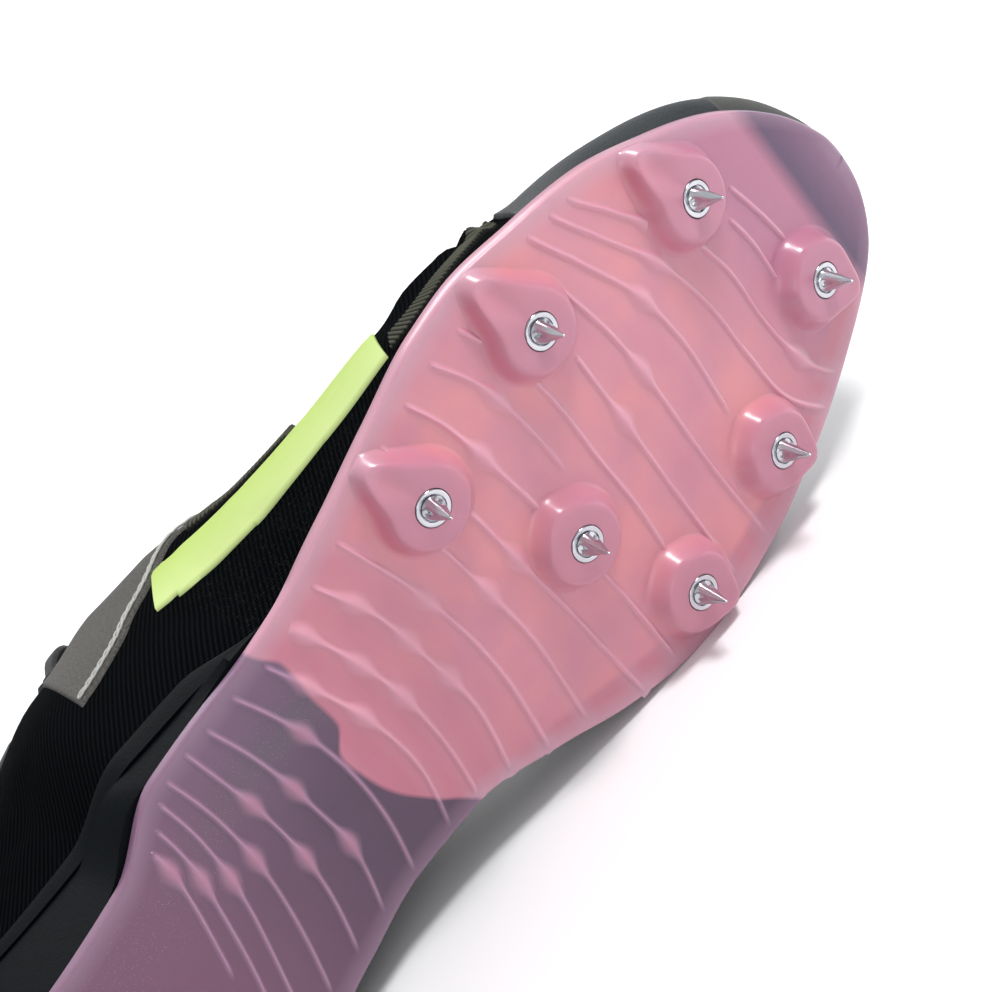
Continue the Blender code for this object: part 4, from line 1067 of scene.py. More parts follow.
def make_pins(look):
    """Seven steel pins. Each has a round flange with a groove inside its lip, and a slim cone."""
    for number, (x, y, _, _) in enumerate(SPIKES, 1):
        place = np.array(frame_at(x, y))
        turn = np.linspace(0, 2 * np.pi, 56, endpoint=False)
        rows = []
        for radius, height in PIN_OUTLINE:
            flats = PIN_FACETS * fade(0.2, 0.7, height) * fade(3.6, 1.0, height)
            radius = radius * (1 - flats * (0.5 - 0.5 * np.cos(3 * turn)) ** 2)
            ring = [radius * np.cos(turn), radius * np.sin(turn), np.full_like(turn, height), np.ones_like(turn)]
            ring = np.array(ring)
            ring[:3] *= MM
            ring[2] += POD_HEIGHT
            rows.append((place @ ring)[:3].T)
        grid = np.stack(rows)
        form = grid.reshape(-1, 3), quads(len(rows), len(turn), wrap_across=True), {}
        add_piece(f"pin_{number}", [form], look, [f"spike_{number}"], smooth=35)


def make_midsole(look):
    """The dark foam wedge, with a rounded upper edge and a fine groove along its side."""
    ends = np.linspace(0, float(angle_of(FOAM_FRONT)), 150)
    insets = np.array([0.35, 0.2, 0.15, 0.12, 0.1, 0.1, 0.1, 0.9, 2.9, 5.5]) * MM
    flat, rings = plan_rings(ends, insets, 24)
    amounts = fade(FOAM_BOW_FROM, FOAM_FRONT, share_of(ends))
    reach = np.linspace(-1, 1, flat.shape[1])
    flat[..., 1] -= END_BOW * (1 - reach**4)[None] * amounts[:, None]
    x, y = flat[..., 0], flat[..., 1]
    share = share_at(y)
    under, edge, deck = sole_z(x, y), foam_edge_z(share), foam_inner_z(share)
    low = under + PLATE_THICKNESS + CLEARANCE
    rise = edge - PLATE_THICKNESS - CLEARANCE
    climb = np.array([0.0, 0.15, 0.4, 0.55, 0.7, 0.85, 0.995, 1.0, 1.0, 1.0])[rings][None]
    top = low + np.maximum(rise, 0.4 * MM) * climb
    top = np.where((rings >= 9)[None], under + np.maximum(deck, edge), top)
    outer = np.concatenate([flat, top[..., None]], -1)
    inner = np.concatenate([flat, np.minimum(low, top - 0.02 * MM)[..., None]], -1)
    form = shell(outer, inner, {"weave": np.stack([y / MM, top / MM], -1)})
    add_piece("midsole_wedge", [form, foam_lip()], look, ["midsole"], smooth=40)


def foam_lip():
    """The wedge's upper edge, which laps a little way up the knit on both sides."""
    angles = np.linspace(0, float(angle_of(FOAM_FRONT + 0.004)), 120)
    high = FOAM_LAP * fade(FOAM_FRONT + 0.004, FOAM_FRONT - 0.06, share_of(angles))
    steps = 9
    t = np.linspace(0, 1, steps + 1)
    lift = 0.9 * MM * np.sqrt(1 - 0.96 * t**4)
    outer, share, v = ring_surface(angles, 0 * angles, high, steps, lift[None])
    inner, _, _ = ring_surface(angles, 0 * angles, high, steps, -0.3 * MM)
    return shell(outer, inner, {"weave": weave_place(share, v, outer)})


FOAM_LAP = 0.072


def make_insole(look):
    """The sock liner, dished a little at the heel."""
    flat, _ = plan_rings(np.linspace(0.02, np.pi - 0.02, 140), np.array([6.0, 6.6, 8.0, 12.0]) * MM, 20)
    x, y = flat[..., 0], flat[..., 1]
    share = share_at(y)
    raised = np.maximum(foam_inner_z(share), PLATE_THICKNESS + PAD_THICKNESS)
    deck = np.where(share < FOAM_FRONT, raised, PLATE_THICKNESS + PAD_THICKNESS)
    floor = sole_z(x, y) + deck + 2 * CLEARANCE
    dish = 1.4 * MM * fade(0, 10 * MM, edge_gap(x, y) - 6 * MM)
    top = floor + INSOLE_THICKNESS + 0.9 * MM - dish
    outer = np.concatenate([flat, top[..., None]], -1)
    inner = np.concatenate([flat, floor[..., None]], -1)
    form = shell(outer, inner, {"weave": np.stack([x / MM, y / MM], -1)})
    add_piece("sock_liner", [form], look, ["insole"], smooth=40)


# Upper


def make_upper(look):
    """The knitted shell, one piece from the sole to the top line."""
    angles = np.linspace(0, np.pi, 230)
    throat = float(angle_of(THROAT_FRONT))
    angles[np.abs(angles - throat).argmin()] = throat
    steps = 64
    outer, share, v = ring_surface(angles, 0 * angles, 1 + 0 * angles, steps)
    inner, _, _ = ring_surface(angles, 0 * angles, 1 + 0 * angles, steps, -UPPER_WALL)
    table = np.array(sorted(NET_LINE))
    side = np.repeat(np.array([1.0] * len(angles) + [0.0] * len(angles))[:, None], steps + 1, 1)
    line = np.interp(share, table[:, 0], table[:, 1], left=0.0, right=0.0)
    net = fade(0.012, -0.012, v - line) * fade(0.770, 0.755, share) * fade(0.44, 0.46, share)
    values = {"weave": weave_place(share, v, outer), "net": net * side}
    open_rows = share[:, 0] < THROAT_FRONT - 1e-6
    form = shell(outer, inner, values, last_open=open_rows)
    add_piece("knit_upper", [form, foot_sheet()], look, ["upper"], smooth=60)


def foot_sheet():
    """The knit's own sole, sewn to the foot of the wall and hidden under the insole."""
    angles = np.linspace(0.01, np.pi - 0.01, 170)
    feet = []
    for side in (LATERAL, MEDIAL):
        middle = wall_normal(side, angles, 0 * angles) * (0.5 * UPPER_WALL)
        feet.append(wall_point(side, angles, 0 * angles) - middle)
    t = np.linspace(0, 1, 15)[None, :, None]
    sheet = feet[0][:, None] * (1 - t) + feet[1][:, None] * t
    deck = sole_z(sheet[..., 0], sheet[..., 1]) + PLATE_THICKNESS + 0.4 * MM
    sheet[..., 2] = np.maximum(sheet[..., 2], deck)
    outer = sheet + np.array([0, 0, 0.5 * MM])
    inner = sheet - np.array([0, 0, 0.1 * MM])
    zero = np.zeros(sheet.shape[:2])
    return shell(outer, inner, {"weave": sheet[..., :2] / MM, "net": zero})


def patch(side, angles, v_low, v_high, steps, lift, thickness, rim=0.5 * MM):
    """A thin layer on the wall between two v, its four edges rounded off."""
    t = np.linspace(0, 1, steps + 1)
    a = np.repeat(np.asarray(angles)[:, None], steps + 1, 1)
    v = np.asarray(v_low)[:, None] * (1 - t) + np.asarray(v_high)[:, None] * t
    flat = wall_point(side, a, v)
    up = np.concatenate([np.zeros((len(a), 1)), np.cumsum(np.linalg.norm(np.diff(flat, axis=1), axis=2), 1)], 1)
    run = np.concatenate([np.zeros((1, steps + 1)), np.cumsum(np.linalg.norm(np.diff(flat, axis=0), axis=2), 0)])
    edge = np.minimum(np.minimum(up, up[:, -1:] - up), np.minimum(run, run[-1:] - run))
    part = np.clip(edge / rim, 0, 1)
    height = lift + thickness * np.sqrt(np.clip(1 - (1 - part) ** 2, 0, 1))
    outer = surface(side, a, v, height)
    inner = surface(side, a, v, np.full_like(a, -0.3 * MM))
    values = {"weave": weave_place(share_of(a), v, outer), "edge": part}
    return shell(outer, inner, values)


def make_toe_pieces(film_look, bumper_look):
    """The rand round the toe and the smooth film along the lateral forefoot."""
    angles = np.linspace(float(angle_of(BUMPER_REAR + 0.008)), np.pi, 70)
    share = share_of(angles)
    top = 0.36 + 0.24 * fade(BUMPER_REAR, 1, share)
    steps = 26
    ring_a = np.concatenate([angles, angles[::-1]])
    rise = np.concatenate([top, top[::-1]])
    t = np.linspace(0, 1, steps + 1)[None]
    v = 0.015 * (1 - t) + rise[:, None] * t
    part = np.clip(np.minimum(t, 1 - t) * rise[:, None] * WALL_LENGTH / (0.8 * MM), 0, 1)
    ends = np.minimum(np.arange(len(ring_a)), np.arange(len(ring_a))[::-1])[:, None] / 2.0
    part = np.minimum(part, np.clip(ends, 0, 1))
    lift = 0.15 * MM + OVERLAY_THICKNESS * np.sqrt(1 - (1 - part) ** 2)
    grids = {}
    for low in (True, False):
        height = np.full_like(lift, -0.3 * MM) if low else lift
        halves = []
        for side, half in ((LATERAL, slice(0, len(angles))), (MEDIAL, slice(len(angles), None))):
            a = np.repeat(ring_a[half][:, None], steps + 1, 1)
            halves.append(surface(side, a, v[half], height[half]))
        grids[low] = np.concatenate(halves)
    share_grid = np.repeat(share_of(ring_a)[:, None], steps + 1, 1)
    values = {"weave": weave_place(share_grid, v, grids[False]), "height": v}
    form = shell(grids[False], grids[True], values)
    add_piece("toe_rand", [form], bumper_look, ["toe_bumper"], smooth=50)

    angles = np.linspace(float(angle_of(0.772)), float(angle_of(0.944)), 110)
    share = share_of(angles)
    t = np.linspace(0, 1, len(angles))
    top = 0.36 + 0.12 * np.sin(np.pi * t) - 0.05 * (1 - t)
    form = patch(LATERAL, angles, 0.012 + 0 * t, top, 40, 0.15 * MM, 0.55 * MM)
    add_piece("side_film", [form], film_look, ["side_overlay"], smooth=50)


def make_bands(cord_look, lime_look):
    """The corded bands and the plain band along the lateral side."""
    cord = strip_on_wall(CORD_LINE, CORD_HALF, 0.12 * MM, 14, 0.1 * MM, 0.45 * MM, 0.5, (1.05 * MM, 0.42 * MM, 0.9))
    add_piece("cord_band", [cord], cord_look, smooth=60)
    high = strip_on_wall(HIGH_CORD_LINE, HIGH_CORD_HALF, 0.12 * MM, 14, 0.1 * MM, 0.4 * MM, 0, (1.1 * MM, 0.4 * MM, 0.1))
    add_piece("high_cord_band", [high], cord_look, smooth=60)
    lime = strip_on_wall(LIME_LINE, LIME_HALF, 0.5 * MM, 26, 0.12 * MM, 0.5 * MM, 0)
    add_piece("side_band", [lime], lime_look, smooth=50)


def make_ankle_panel(look, thread_look):
    """The heather panel below the top eyelets, and the chain stitch along its lower edge."""
    table = np.array(CHAIN_LINE)
    angle, v, run = line_on_wall(CHAIN_LINE, 0.8 * MM)
    share = share_of(angle)
    front, rear = share.max(), 0.362
    order = np.argsort(share)
    shares = np.linspace(rear, front - 0.0008, 90)
    low = np.interp(shares, share[order], v[order])
    high = np.minimum(0.80, low + (0.80 - low) * fade(0, 0.02, front - shares) + 0.02)
    form = patch(LATERAL, angle_of(shares), low, high, 40, 0.1 * MM, 0.6 * MM, 0.9 * MM)
    add_piece("heather_panel", [form], look, ["ankle_panel"], smooth=50)

    angle, v, run = line_on_wall(table[1:], 0.25 * MM)
    a, vv = beside(angle, v, [-1.6 * MM])
    path = surface(LATERAL, a[:, 0], vv[:, 0], 0.85 * MM)
    way = wall_normal(LATERAL, a[:, 0], vv[:, 0])
    forms = []
    for k in range(0, len(path) - 12, 9):
        forms.append(stitch(path[k], path[k + 10], way[k + 5]))
    add_piece("chain_stitch", forms, thread_look, smooth=70)


def stitch(start, end, way, wide=0.62 * MM, thread=0.26 * MM):
    """One link of a chain stitch: a loop of thread, narrow where it starts."""
    run = end - start
    aside = np.cross(way, run)
    aside /= np.linalg.norm(aside)
    turn = np.linspace(0, 2 * np.pi, 18, endpoint=False)
    t = 0.5 - 0.5 * np.cos(turn)
    width = wide * np.sin(turn) * (0.35 + 0.65 * t)
    arch = 0.22 * MM * np.sin(np.pi * t)
    path = start + run * t[:, None] * 1.12 + aside * width[:, None] + way * arch[:, None]
    return loop(path, way, thread)


def loop(path, way, radius, sides=7):
    """A closed ring of thread along a path."""
    tangent = np.roll(path, -1, 0) - np.roll(path, 1, 0)
    tangent /= np.linalg.norm(tangent, axis=1, keepdims=True)
    across = np.cross(tangent, way)
    across /= np.linalg.norm(across, axis=1, keepdims=True)
    up = np.cross(across, tangent)
    turn = np.linspace(0, 2 * np.pi, sides, endpoint=False)
    ring = path[:, None] + radius * (
        across[:, None] * np.cos(turn)[None, :, None] + up[:, None] * np.sin(turn)[None, :, None]
    )
    return ring.reshape(-1, 3), quads(len(path), sides, wrap=True, wrap_across=True), {}


def make_eyestay(look, ring_look):
    """The facing round the throat with its eyelets."""
    forms = []
    angles = np.linspace(float(angle_of(THROAT_TOP + 0.012)), float(angle_of(THROAT_FRONT)), 120)
    for side in (LATERAL, MEDIAL):
        rear = fade(0.0, 0.06, share_of(angles) - share_of(angles[0]))
        front = fade(share_of(angles[-1]) - 0.045, share_of(angles[-1]), share_of(angles))
        low = 0.86 - 0.05 * rear + 0.11 * front**2
        forms.append(patch(side, angles, low, 0.997 + 0 * angles, 18, 0.1 * MM, 0.7 * MM, 0.6 * MM))
    add_piece("throat_facing", forms, look, ["eyestay"], smooth=50)
    rings = []
    for share in EYELET_SHARES:
        for side in (LATERAL, MEDIAL):
            middle, way = eyelet_point(side, share, 0.85 * MM)
            ahead = np.array([0.0, 1.0, 0.0])
            across = np.cross(way, ahead)
            across /= np.linalg.norm(across)
            ahead = np.cross(across, way)
            turn = np.linspace(0, 2 * np.pi, 28, endpoint=False)[:, None]
            path = middle + EYELET_RADIUS * (across * np.cos(turn) + ahead * np.sin(turn))
            rings.append(loop(path, way, 0.5 * MM, 9))
    add_piece("eyelets", rings, ring_look, smooth=70)


EYELET_SHARES = np.linspace(THROAT_FRONT - 0.045, THROAT_TOP + 0.030, EYELET_PAIRS)
EYELET_RADIUS = 1.9 * MM


def evened(rows, length=None):
    """Rows of points or directions with each one averaged over its neighbours."""
    rows = np.array(rows)
    reach = 12
    padded = np.concatenate([rows[:1]] * reach + [rows] + [rows[-1:]] * reach)
    weights = np.hanning(2 * reach + 3)[1:-1]
    rows = np.stack([np.convolve(padded[:, k], weights / weights.sum(), "valid") for k in range(3)], 1)
    if length:
        rows *= length / np.linalg.norm(rows, axis=1, keepdims=True)
    return rows


def make_collar(roll_look, lining_look):
    """The padded roll along the top line and the lining below it."""
    angles = np.linspace(0, float(angle_of(THROAT_TOP + 0.004)), 80)
    sides = [(LATERAL, a) for a in angles[::-1]] + [(MEDIAL, a) for a in angles[1:]]
    path, across, up = [], [], []
    for side, angle in sides:
        top = wall_point(side, np.array(angle), np.array(1.0))
        way = wall_normal(side, np.array(angle), np.array(0.95))
        below = wall_point(side, np.array(angle), np.array(0.93))
        rise = (top - below) / np.linalg.norm(top - below)
        path.append(top - way * 1.7 * MM - rise * 1.2 * MM)
        across.append(way)
        up.append(rise)
    path, across, up = evened(path), evened(across, 1), evened(up, 1)
    run = np.concatenate([[0], np.cumsum(np.linalg.norm(np.diff(path, axis=0), axis=1))])
    ends = np.sqrt(np.clip(np.minimum(run, run[-1] - run) / (6 * MM), 0.02, 1))
    form = tube(path, across, up, 2.5 * MM * ends, 3.0 * MM * ends, 18, {"weave": np.stack([run / MM, 0 * run], 1)})
    roll = add_piece("collar_roll", [form], roll_look, smooth=70)

    t = np.linspace(0.12, 0.97, 34)
    grids = []
    for depth in (UPPER_WALL + 0.2 * MM, UPPER_WALL + 2.6 * MM):
        rows = []
        for side, angle in sides:
            a = np.full_like(t, angle)
            pad = depth if depth < 2.5 * MM else depth - 1.8 * MM * fade(0.35, 0.12, t)
            rows.append(wall_point(side, a, t) - wall_normal(side, a, t) * np.asarray(pad)[..., None])
        grids.append(np.array(rows))
    place = np.stack([np.repeat(run[:, None], len(t), 1) / MM, np.repeat(t[None], len(run), 0) * 72], -1)
    lining = add_piece("collar_lining", [shell(grids[1], grids[0], {"weave": place})], lining_look, smooth=60)


def make_tongue(look):
    """The tongue below the throat, standing out a little past the top eyelets."""
    shares = np.linspace(THROAT_FRONT - 0.006, THROAT_TOP + 0.012, 60)
    lines, ways = [], []
    for angle in angle_of(shares):
        points, directions = tongue_section(angle, 0.84, 7, 14)
        lines.append(points)
        ways.append(directions)
    run = lines[-1].mean(0) - lines[-4].mean(0)
    run /= np.linalg.norm(run)
    last, last_ways = lines[-1], ways[-1]
    rounded = 1 - 0.5 * np.linspace(-1, 1, len(last))[:, None] ** 2
    for part in np.linspace(0.1, 1.0, 12):
        narrow = 1 - TONGUE_NARROWS * part**2
        moved = last.mean(0) + (last - last.mean(0)) * np.array([narrow, 1, 1])
        lines.append(moved + run * TONGUE_STANDS_OUT * part * rounded)
        ways.append(last_ways)
    lines, ways = np.array(lines), np.array(ways)
    reach = np.linspace(-1, 1, lines.shape[1])[None, :, None]
    end = np.linspace(0, 1, len(lines))[:, None, None]
    plump = np.sqrt(np.clip(1 - reach**6, 0, 1)) * np.sqrt(np.clip((1 - end) / 0.03, 0.02, 1))
    outer = lines + ways * 0.0
    inner = lines - ways * (0.5 * MM + (TONGUE_THICKNESS - 0.5 * MM) * plump)
    place = np.stack([lines[..., 0] / MM, lines[..., 1] / MM], -1)
    tongue = add_piece("soft_tongue", [shell(outer, inner, {"weave": place})], look, ["tongue"], smooth=60)


def lace_run(start_side, share_from, share_to, lift):
    """The middle line of one crossing, from inside an eyelet, over the tongue, into the next one."""
    knots, ups = [], []
    for depth, side, share in (
        (-1.2 * MM, start_side, share_from), (1.2 * MM, start_side, share_from),
    ):
        point, way = eyelet_point(side, share, depth)
        knots.append(point)
        ups.append(way)
    for t, side in ((0.30, start_side), (0.70, -start_side)):
        share = share_from + (share_to - share_from) * t
        way = wall_normal(side, angle_of(share), np.float64(0.95))
        point = wall_point(side, angle_of(share), np.float64(1.0)) + way * lift
        knots.append(point)
        ups.append(way)
    middle = (knots[2] + knots[3]) / 2 + np.array([0, 0, LACE_HUMP])
    knots.insert(3, middle)
    ups.insert(3, (ups[2] + ups[3]) / 2)
    for depth in (1.2 * MM, -1.2 * MM):
        point, way = eyelet_point(-start_side, share_to, depth)
        knots.append(point)
        ups.append(way)
    places = np.linspace(0, 1, len(knots))
    at = np.linspace(0, 1, 60)
    return spline(places, np.array(knots), at), spline(places, np.array(ups), at)


def flat_lace(path, ups, width, thick):
    tangent = np.gradient(path, axis=0)
    tangent /= np.linalg.norm(tangent, axis=1, keepdims=True)
    across = np.cross(tangent, ups)
    across /= np.linalg.norm(across, axis=1, keepdims=True)
    up = np.cross(across, tangent)
    run = np.concatenate([[0], np.cumsum(np.linalg.norm(np.diff(path, axis=0), axis=1))])
    narrow = 0.62 + 0.38 * fade(0, 0.18, np.minimum(run, run[-1] - run) / run[-1])
    weave = np.stack([run / MM, 0 * run], 1)
    return tube(path, across, up, width / 2 * narrow, thick / 2, 14, {"weave": weave}, 0.55)


def make_laces(look):
    forms = []
    base = 2.0 * MM
    for start_side, lift in ((LATERAL, base), (MEDIAL, base + 1.3 * MM)):
        for a, b in zip(EYELET_SHARES, EYELET_SHARES[1:]):
            path, ups = lace_run(start_side, a, b, lift)
            forms.append(flat_lace(path, ups, LACE_WIDTH, LACE_THICKNESS))
    path, ups = bottom_bar(base)
    forms.append(flat_lace(path, ups, LACE_WIDTH, LACE_THICKNESS))
    add_piece("crossed_laces", forms, look, ["laces"], smooth=60)


def bottom_bar(lift):
    """The straight run between the two lowest eyelets."""
    share = EYELET_SHARES[0]
    knots, ups = [], []
    for side, depths in ((LATERAL, (-1.2, 1.1)), (MEDIAL, (1.1, -1.2))):
        for depth in depths:
            point, way = eyelet_point(side, share, depth * MM)
            knots.append(point)
            ups.append(way)
    middle = (knots[1] + knots[2]) / 2 + np.array([0, 0, 0.6 * MM])
    knots.insert(2, middle)
    ups.insert(2, (ups[1] + ups[2]) / 2)
    at = np.linspace(0, 1, 40)
    places = np.linspace(0, 1, 5)
    return spline(places, np.array(knots), at), spline(places, np.array(ups), at)


# Materials


def plate_look():
    """Milky, tinted plastic. The cushion shows through it as pink, and the rest is purple. Crests and the plate near
    the ribs are painted paler as a highlight, and the pods' flanks darker as painted shade.
    """
    look = Look("plate", roughness=0.34, ior=1.5, coat_weight=0.35, coat_roughness=0.17)
    at = look.stored("shoe", "Vector")
    cloud = look.noise(at, 38.0, 3.0)
    behind = look.remap(look.stored("pad_rear"), -0.5, 0.5)
    ahead = look.remap(look.stored("pad_front"), -2.2, 1.8)
    pad = look.maths("MULTIPLY", behind, ahead)
    inside = look.remap(look.stored("pad_medial"), -0.9, 0.9)
    # Paler plate near the ribs, in the pink and the rose: a painted soft edge of the ribs' highlight.
    near = look.remap(look.stored("rib_gap"), 3.2, 0.8)
    edge = look.remap(look.stored("edge_gap"), 5.0, 0.8)
    crest = look.stored("crest")
    x = look.node("ShaderNodeSeparateXYZ", {0: at}, 0)
    y = look.node("ShaderNodeSeparateXYZ", {0: at}, 1)
    rear = look.remap(y, -0.020, -0.052)
    front = look.remap(y, 0.046, 0.070)
    patches = look.remap(look.noise(at, 55.0, 2.0), 0.35, 0.65)
    pink = look.blend(cloud, palette(196, 130, 148), palette(186, 116, 136))
    pink = look.blend(look.maths("MULTIPLY", patches, 0.8), pink, palette(212, 134, 138))
    pink = look.blend(rear, pink, palette(184, 108, 128))
    pink = look.blend(look.maths("MULTIPLY", near, 0.3), pink, palette(202, 136, 152))
    pink = look.blend(look.maths("MULTIPLY", front, 0.85), pink, palette(166, 104, 132))
    rose = look.blend(near, palette(184, 112, 130), palette(186, 126, 144))
    pink = look.blend(inside, rose, pink)
    toe = look.remap(y, 0.0, 0.06)
    wisps = look.noise(look.turned(at, -35, (1.0, 0.35, 1.0)), 90.0, 3.0)
    streak = look.maths("ADD", x, look.maths("MULTIPLY", look.maths("SUBTRACT", wisps, 0.5), 0.012))
    beside_streak = look.maths("ABSOLUTE", look.maths("SUBTRACT", streak, 0.013))
    purple = look.blend(look.remap(x, -0.005, 0.026), palette(76, 50, 76), palette(106, 76, 104))
    purple = look.blend(look.remap(beside_streak, 0.007, 0.001), purple, palette(90, 70, 90))
    purple = look.blend(look.remap(y, -0.066, -0.098), purple, palette(104, 62, 90))
    tip = look.remap(look.stored("pad_front"), -3.0, -13.0)
    purple = look.blend(toe, purple, look.blend(tip, palette(82, 54, 88), palette(126, 82, 114)))
    body = look.blend(pad, purple, pink)
    # Crests of ribs and pods painted paler: a painted highlight.
    ridge = look.blend(pad, palette(166, 126, 154), palette(208, 150, 168))
    body = look.blend(look.maths("MULTIPLY", crest, 0.8), body, ridge)
    lens = look.blend(pad, palette(166, 108, 132), palette(200, 138, 156))
    body = look.blend(look.maths("MULTIPLY", look.stored("swell"), 0.7), body, lens)
    body = look.blend(look.maths("MULTIPLY", look.stored("pod"), 0.75), body, palette(178, 114, 136))
    # Darker red on the pods' flanks, most in the hollow behind each tail: painted shade.
    body = look.blend(look.maths("MULTIPLY", look.stored("hollow"), 0.5), body, palette(184, 92, 112))
    band = look.blend(pad, palette(136, 106, 128), palette(190, 150, 166))
    body = look.blend(look.maths("MULTIPLY", edge, 0.65), body, band)
    grains = look.remap(look.cells(at, 2300.0), 0.15, 0.07)
    zone = look.remap(beside_streak, 0.012, 0.002)
    zone = look.maths("MULTIPLY", zone, look.remap(look.stored("pad_rear"), 4.0, -2.0))
    body = look.blend(look.maths("MULTIPLY", grains, zone), body, palette(178, 160, 174))
    look.set("base_color", body)
    look.shader.inputs["Subsurface Weight"].default_value = 0.22
    look.shader.inputs["Subsurface Radius"].default_value = (1.0, 0.45, 0.5)
    look.shader.inputs["Subsurface Scale"].default_value = 0.0022
    fine = look.noise(at, 700.0, 3.0)
    wide = look.noise(at, 90.0, 2.0)
    first = look.bump(wide, 0.0006, 0.35)
    look.join(look.bump(fine, 0.00005, 0.5, first), look.shader.inputs["Normal"])
    return look


def steel_look():
    look = Look("steel", metallic=1.0, roughness=0.16)
    at = look.stored("shoe", "Vector")
    tint = look.blend(look.noise(at, 200.0), palette(214, 214, 218), palette(180, 180, 188))
    look.set("base_color", tint)
    rough = look.remap(look.noise(at, 900.0, 4.0), 0.3, 0.7, 0.10, 0.24)
    look.join(rough, look.shader.inputs["Roughness"])
    return look


def cushion_look():
    look = Look("cushion", roughness=0.4)
    at = look.stored("shoe", "Vector")
    look.set("base_color", look.blend(look.noise(at, 80.0), palette(214, 120, 138), palette(204, 106, 126)))
    return look


def foam_look():
    """Dark slate foam with a skin, slightly mottled."""
    look = Look("foam", roughness=0.62)
    at = look.stored("shoe", "Vector")
    mottle = look.noise(at, 300.0, 4.0, 0.6)
    look.shader.inputs["Specular IOR Level"].default_value = 0.08
    look.set("base_color", look.blend(mottle, palette(4, 7, 10), palette(10, 14, 18)))
    pores = look.cells(at, 1500.0)
    first = look.bump(look.noise(at, 60.0), 0.0005, 0.25)
    look.join(look.bump(pores, 0.00012, 0.35, first), look.shader.inputs["Normal"])
    return look


def knit_height(look, place):
    """The weave of the knit: ribs up the wall broken into stitches, from its place in millimetres."""
    wale = look.waves(look.turned(place, 30), 0.30, 0.5, bands_direction="X")
    course = look.waves(look.turned(place, -4), 0.55, 0.6, bands_direction="Y")
    both = look.maths("MULTIPLY", wale, course)
    hair = look.noise(look.scaled(place, (0.6, 3.0, 1.0)), 2.2, 3.0)
    return look.maths("ADD", look.maths("MULTIPLY", both, 0.7), look.maths("MULTIPLY", hair, 0.5))


def knit_look():
    """Black knit, with a pale speckled net just above the sole's edge on the lateral side."""
    look = Look("knit", roughness=0.9)
    look.shader.inputs["Specular IOR Level"].default_value = 0.02
    place = look.stored("weave", "Vector")
    height = knit_height(look, place)
    black = look.blend(look.remap(height, 0.35, 1.0), palette(1, 2, 3), palette(24, 27, 31))
    specks = look.cells(look.scaled(place, (1.0, 0.8, 1.0)), 1.5)
    specks = look.remap(specks, 0.30, 0.16)
    pale = look.blend(look.noise(place, 1.3, 3.0), palette(58, 58, 54), palette(120, 118, 106))
    net = look.maths("MULTIPLY", look.stored("net"), look.maths("MULTIPLY", specks, 0.08))
    look.set("base_color", look.blend(net, black, pale))
    look.join(look.bump(height, 0.0004, 0.8), look.shader.inputs["Normal"])
    return look


def film_look():
    """Smooth slate film over the knit, with its weave just showing through."""
    look = Look("film", roughness=0.5, coat_weight=0.08, coat_roughness=0.35)
    place = look.stored("weave", "Vector")
    at = look.stored("shoe", "Vector")
    cloud = look.noise(at, 45.0, 3.0)
    look.shader.inputs["Specular IOR Level"].default_value = 0.3
    look.set("base_color", look.blend(cloud, palette(24, 29, 32), palette(36, 41, 44)))
    first = look.bump(look.noise(place, 0.35, 3.0), 0.0005, 0.35)
    look.join(look.bump(knit_height(look, place), 0.00009, 0.5, first), look.shader.inputs["Normal"])
    return look


def bumper_look():
    """Matt olive grey, paler towards its upper edge."""
    look = Look("bumper", roughness=0.6)
    at = look.stored("shoe", "Vector")
    up = look.remap(look.stored("height"), 0.05, 0.5)
    look.shader.inputs["Specular IOR Level"].default_value = 0.3
    low = look.blend(look.noise(at, 70.0, 3.0), palette(46, 47, 46), palette(60, 61, 58))
    look.set("base_color", look.blend(up, low, palette(92, 93, 87)))
    first = look.bump(look.noise(at, 60.0, 2.0), 0.0006, 0.3)
    look.join(look.bump(look.noise(at, 900.0, 3.0), 0.00008, 0.5, first), look.shader.inputs["Normal"])
    return look


def cord_look():
    """Olive cords over a dark ground."""
    look = Look("cord", roughness=0.8)
    place = look.stored("weave", "Vector")
    strands = look.noise(look.scaled(place, (4.0, 1.2, 1.0)), 1.6, 4.0)
    look.shader.inputs["Specular IOR Level"].default_value = 0.2
    cords = look.blend(strands, palette(46, 46, 40), palette(98, 98, 82))
    crest = look.remap(look.stored("ridge"), 0.30, 0.85)
    look.set("base_color", look.blend(crest, palette(10, 10, 10), cords))
    look.join(look.bump(strands, 0.0003, 0.7), look.shader.inputs["Normal"])
    return look


def lime_look():
    """Matt lime film, paler along its outer part."""
    look = Look("lime", roughness=0.62)
    place = look.stored("weave", "Vector")
    side = look.node("ShaderNodeSeparateXYZ", {0: place}, 1)
    pale = look.remap(side, -5.0, 6.5)
    look.shader.inputs["Specular IOR Level"].default_value = 0.3
    base = look.blend(look.noise(place, 0.25, 3.0), palette(168, 192, 98), palette(176, 198, 108))
    look.set("base_color", look.blend(pale, base, palette(188, 206, 134)))
    look.join(look.bump(look.noise(place, 3.0, 3.0), 0.00006, 0.5), look.shader.inputs["Normal"])
    return look


def heather_look():
    """Grey brown textile of mixed yarns."""
    look = Look("heather", roughness=0.92)
    place = look.stored("weave", "Vector")
    yarn = look.noise(look.turned(place, 35, (1.0, 3.4, 1.0)), 1.5, 4.0, 0.65)
    speck = look.cells(look.turned(place, -30, (1.0, 2.2, 1.0)), 2.0)
    base = look.blend(look.remap(yarn, 0.35, 0.65), palette(26, 25, 24), palette(98, 94, 88))
    base = look.blend(look.remap(speck, 0.25, 0.1, 0.0, 0.6), base, palette(140, 137, 130))
    look.set("base_color", base)
    look.shader.inputs["Sheen Weight"].default_value = 0.1
    look.join(look.bump(yarn, 0.0005, 0.8), look.shader.inputs["Normal"])
    return look


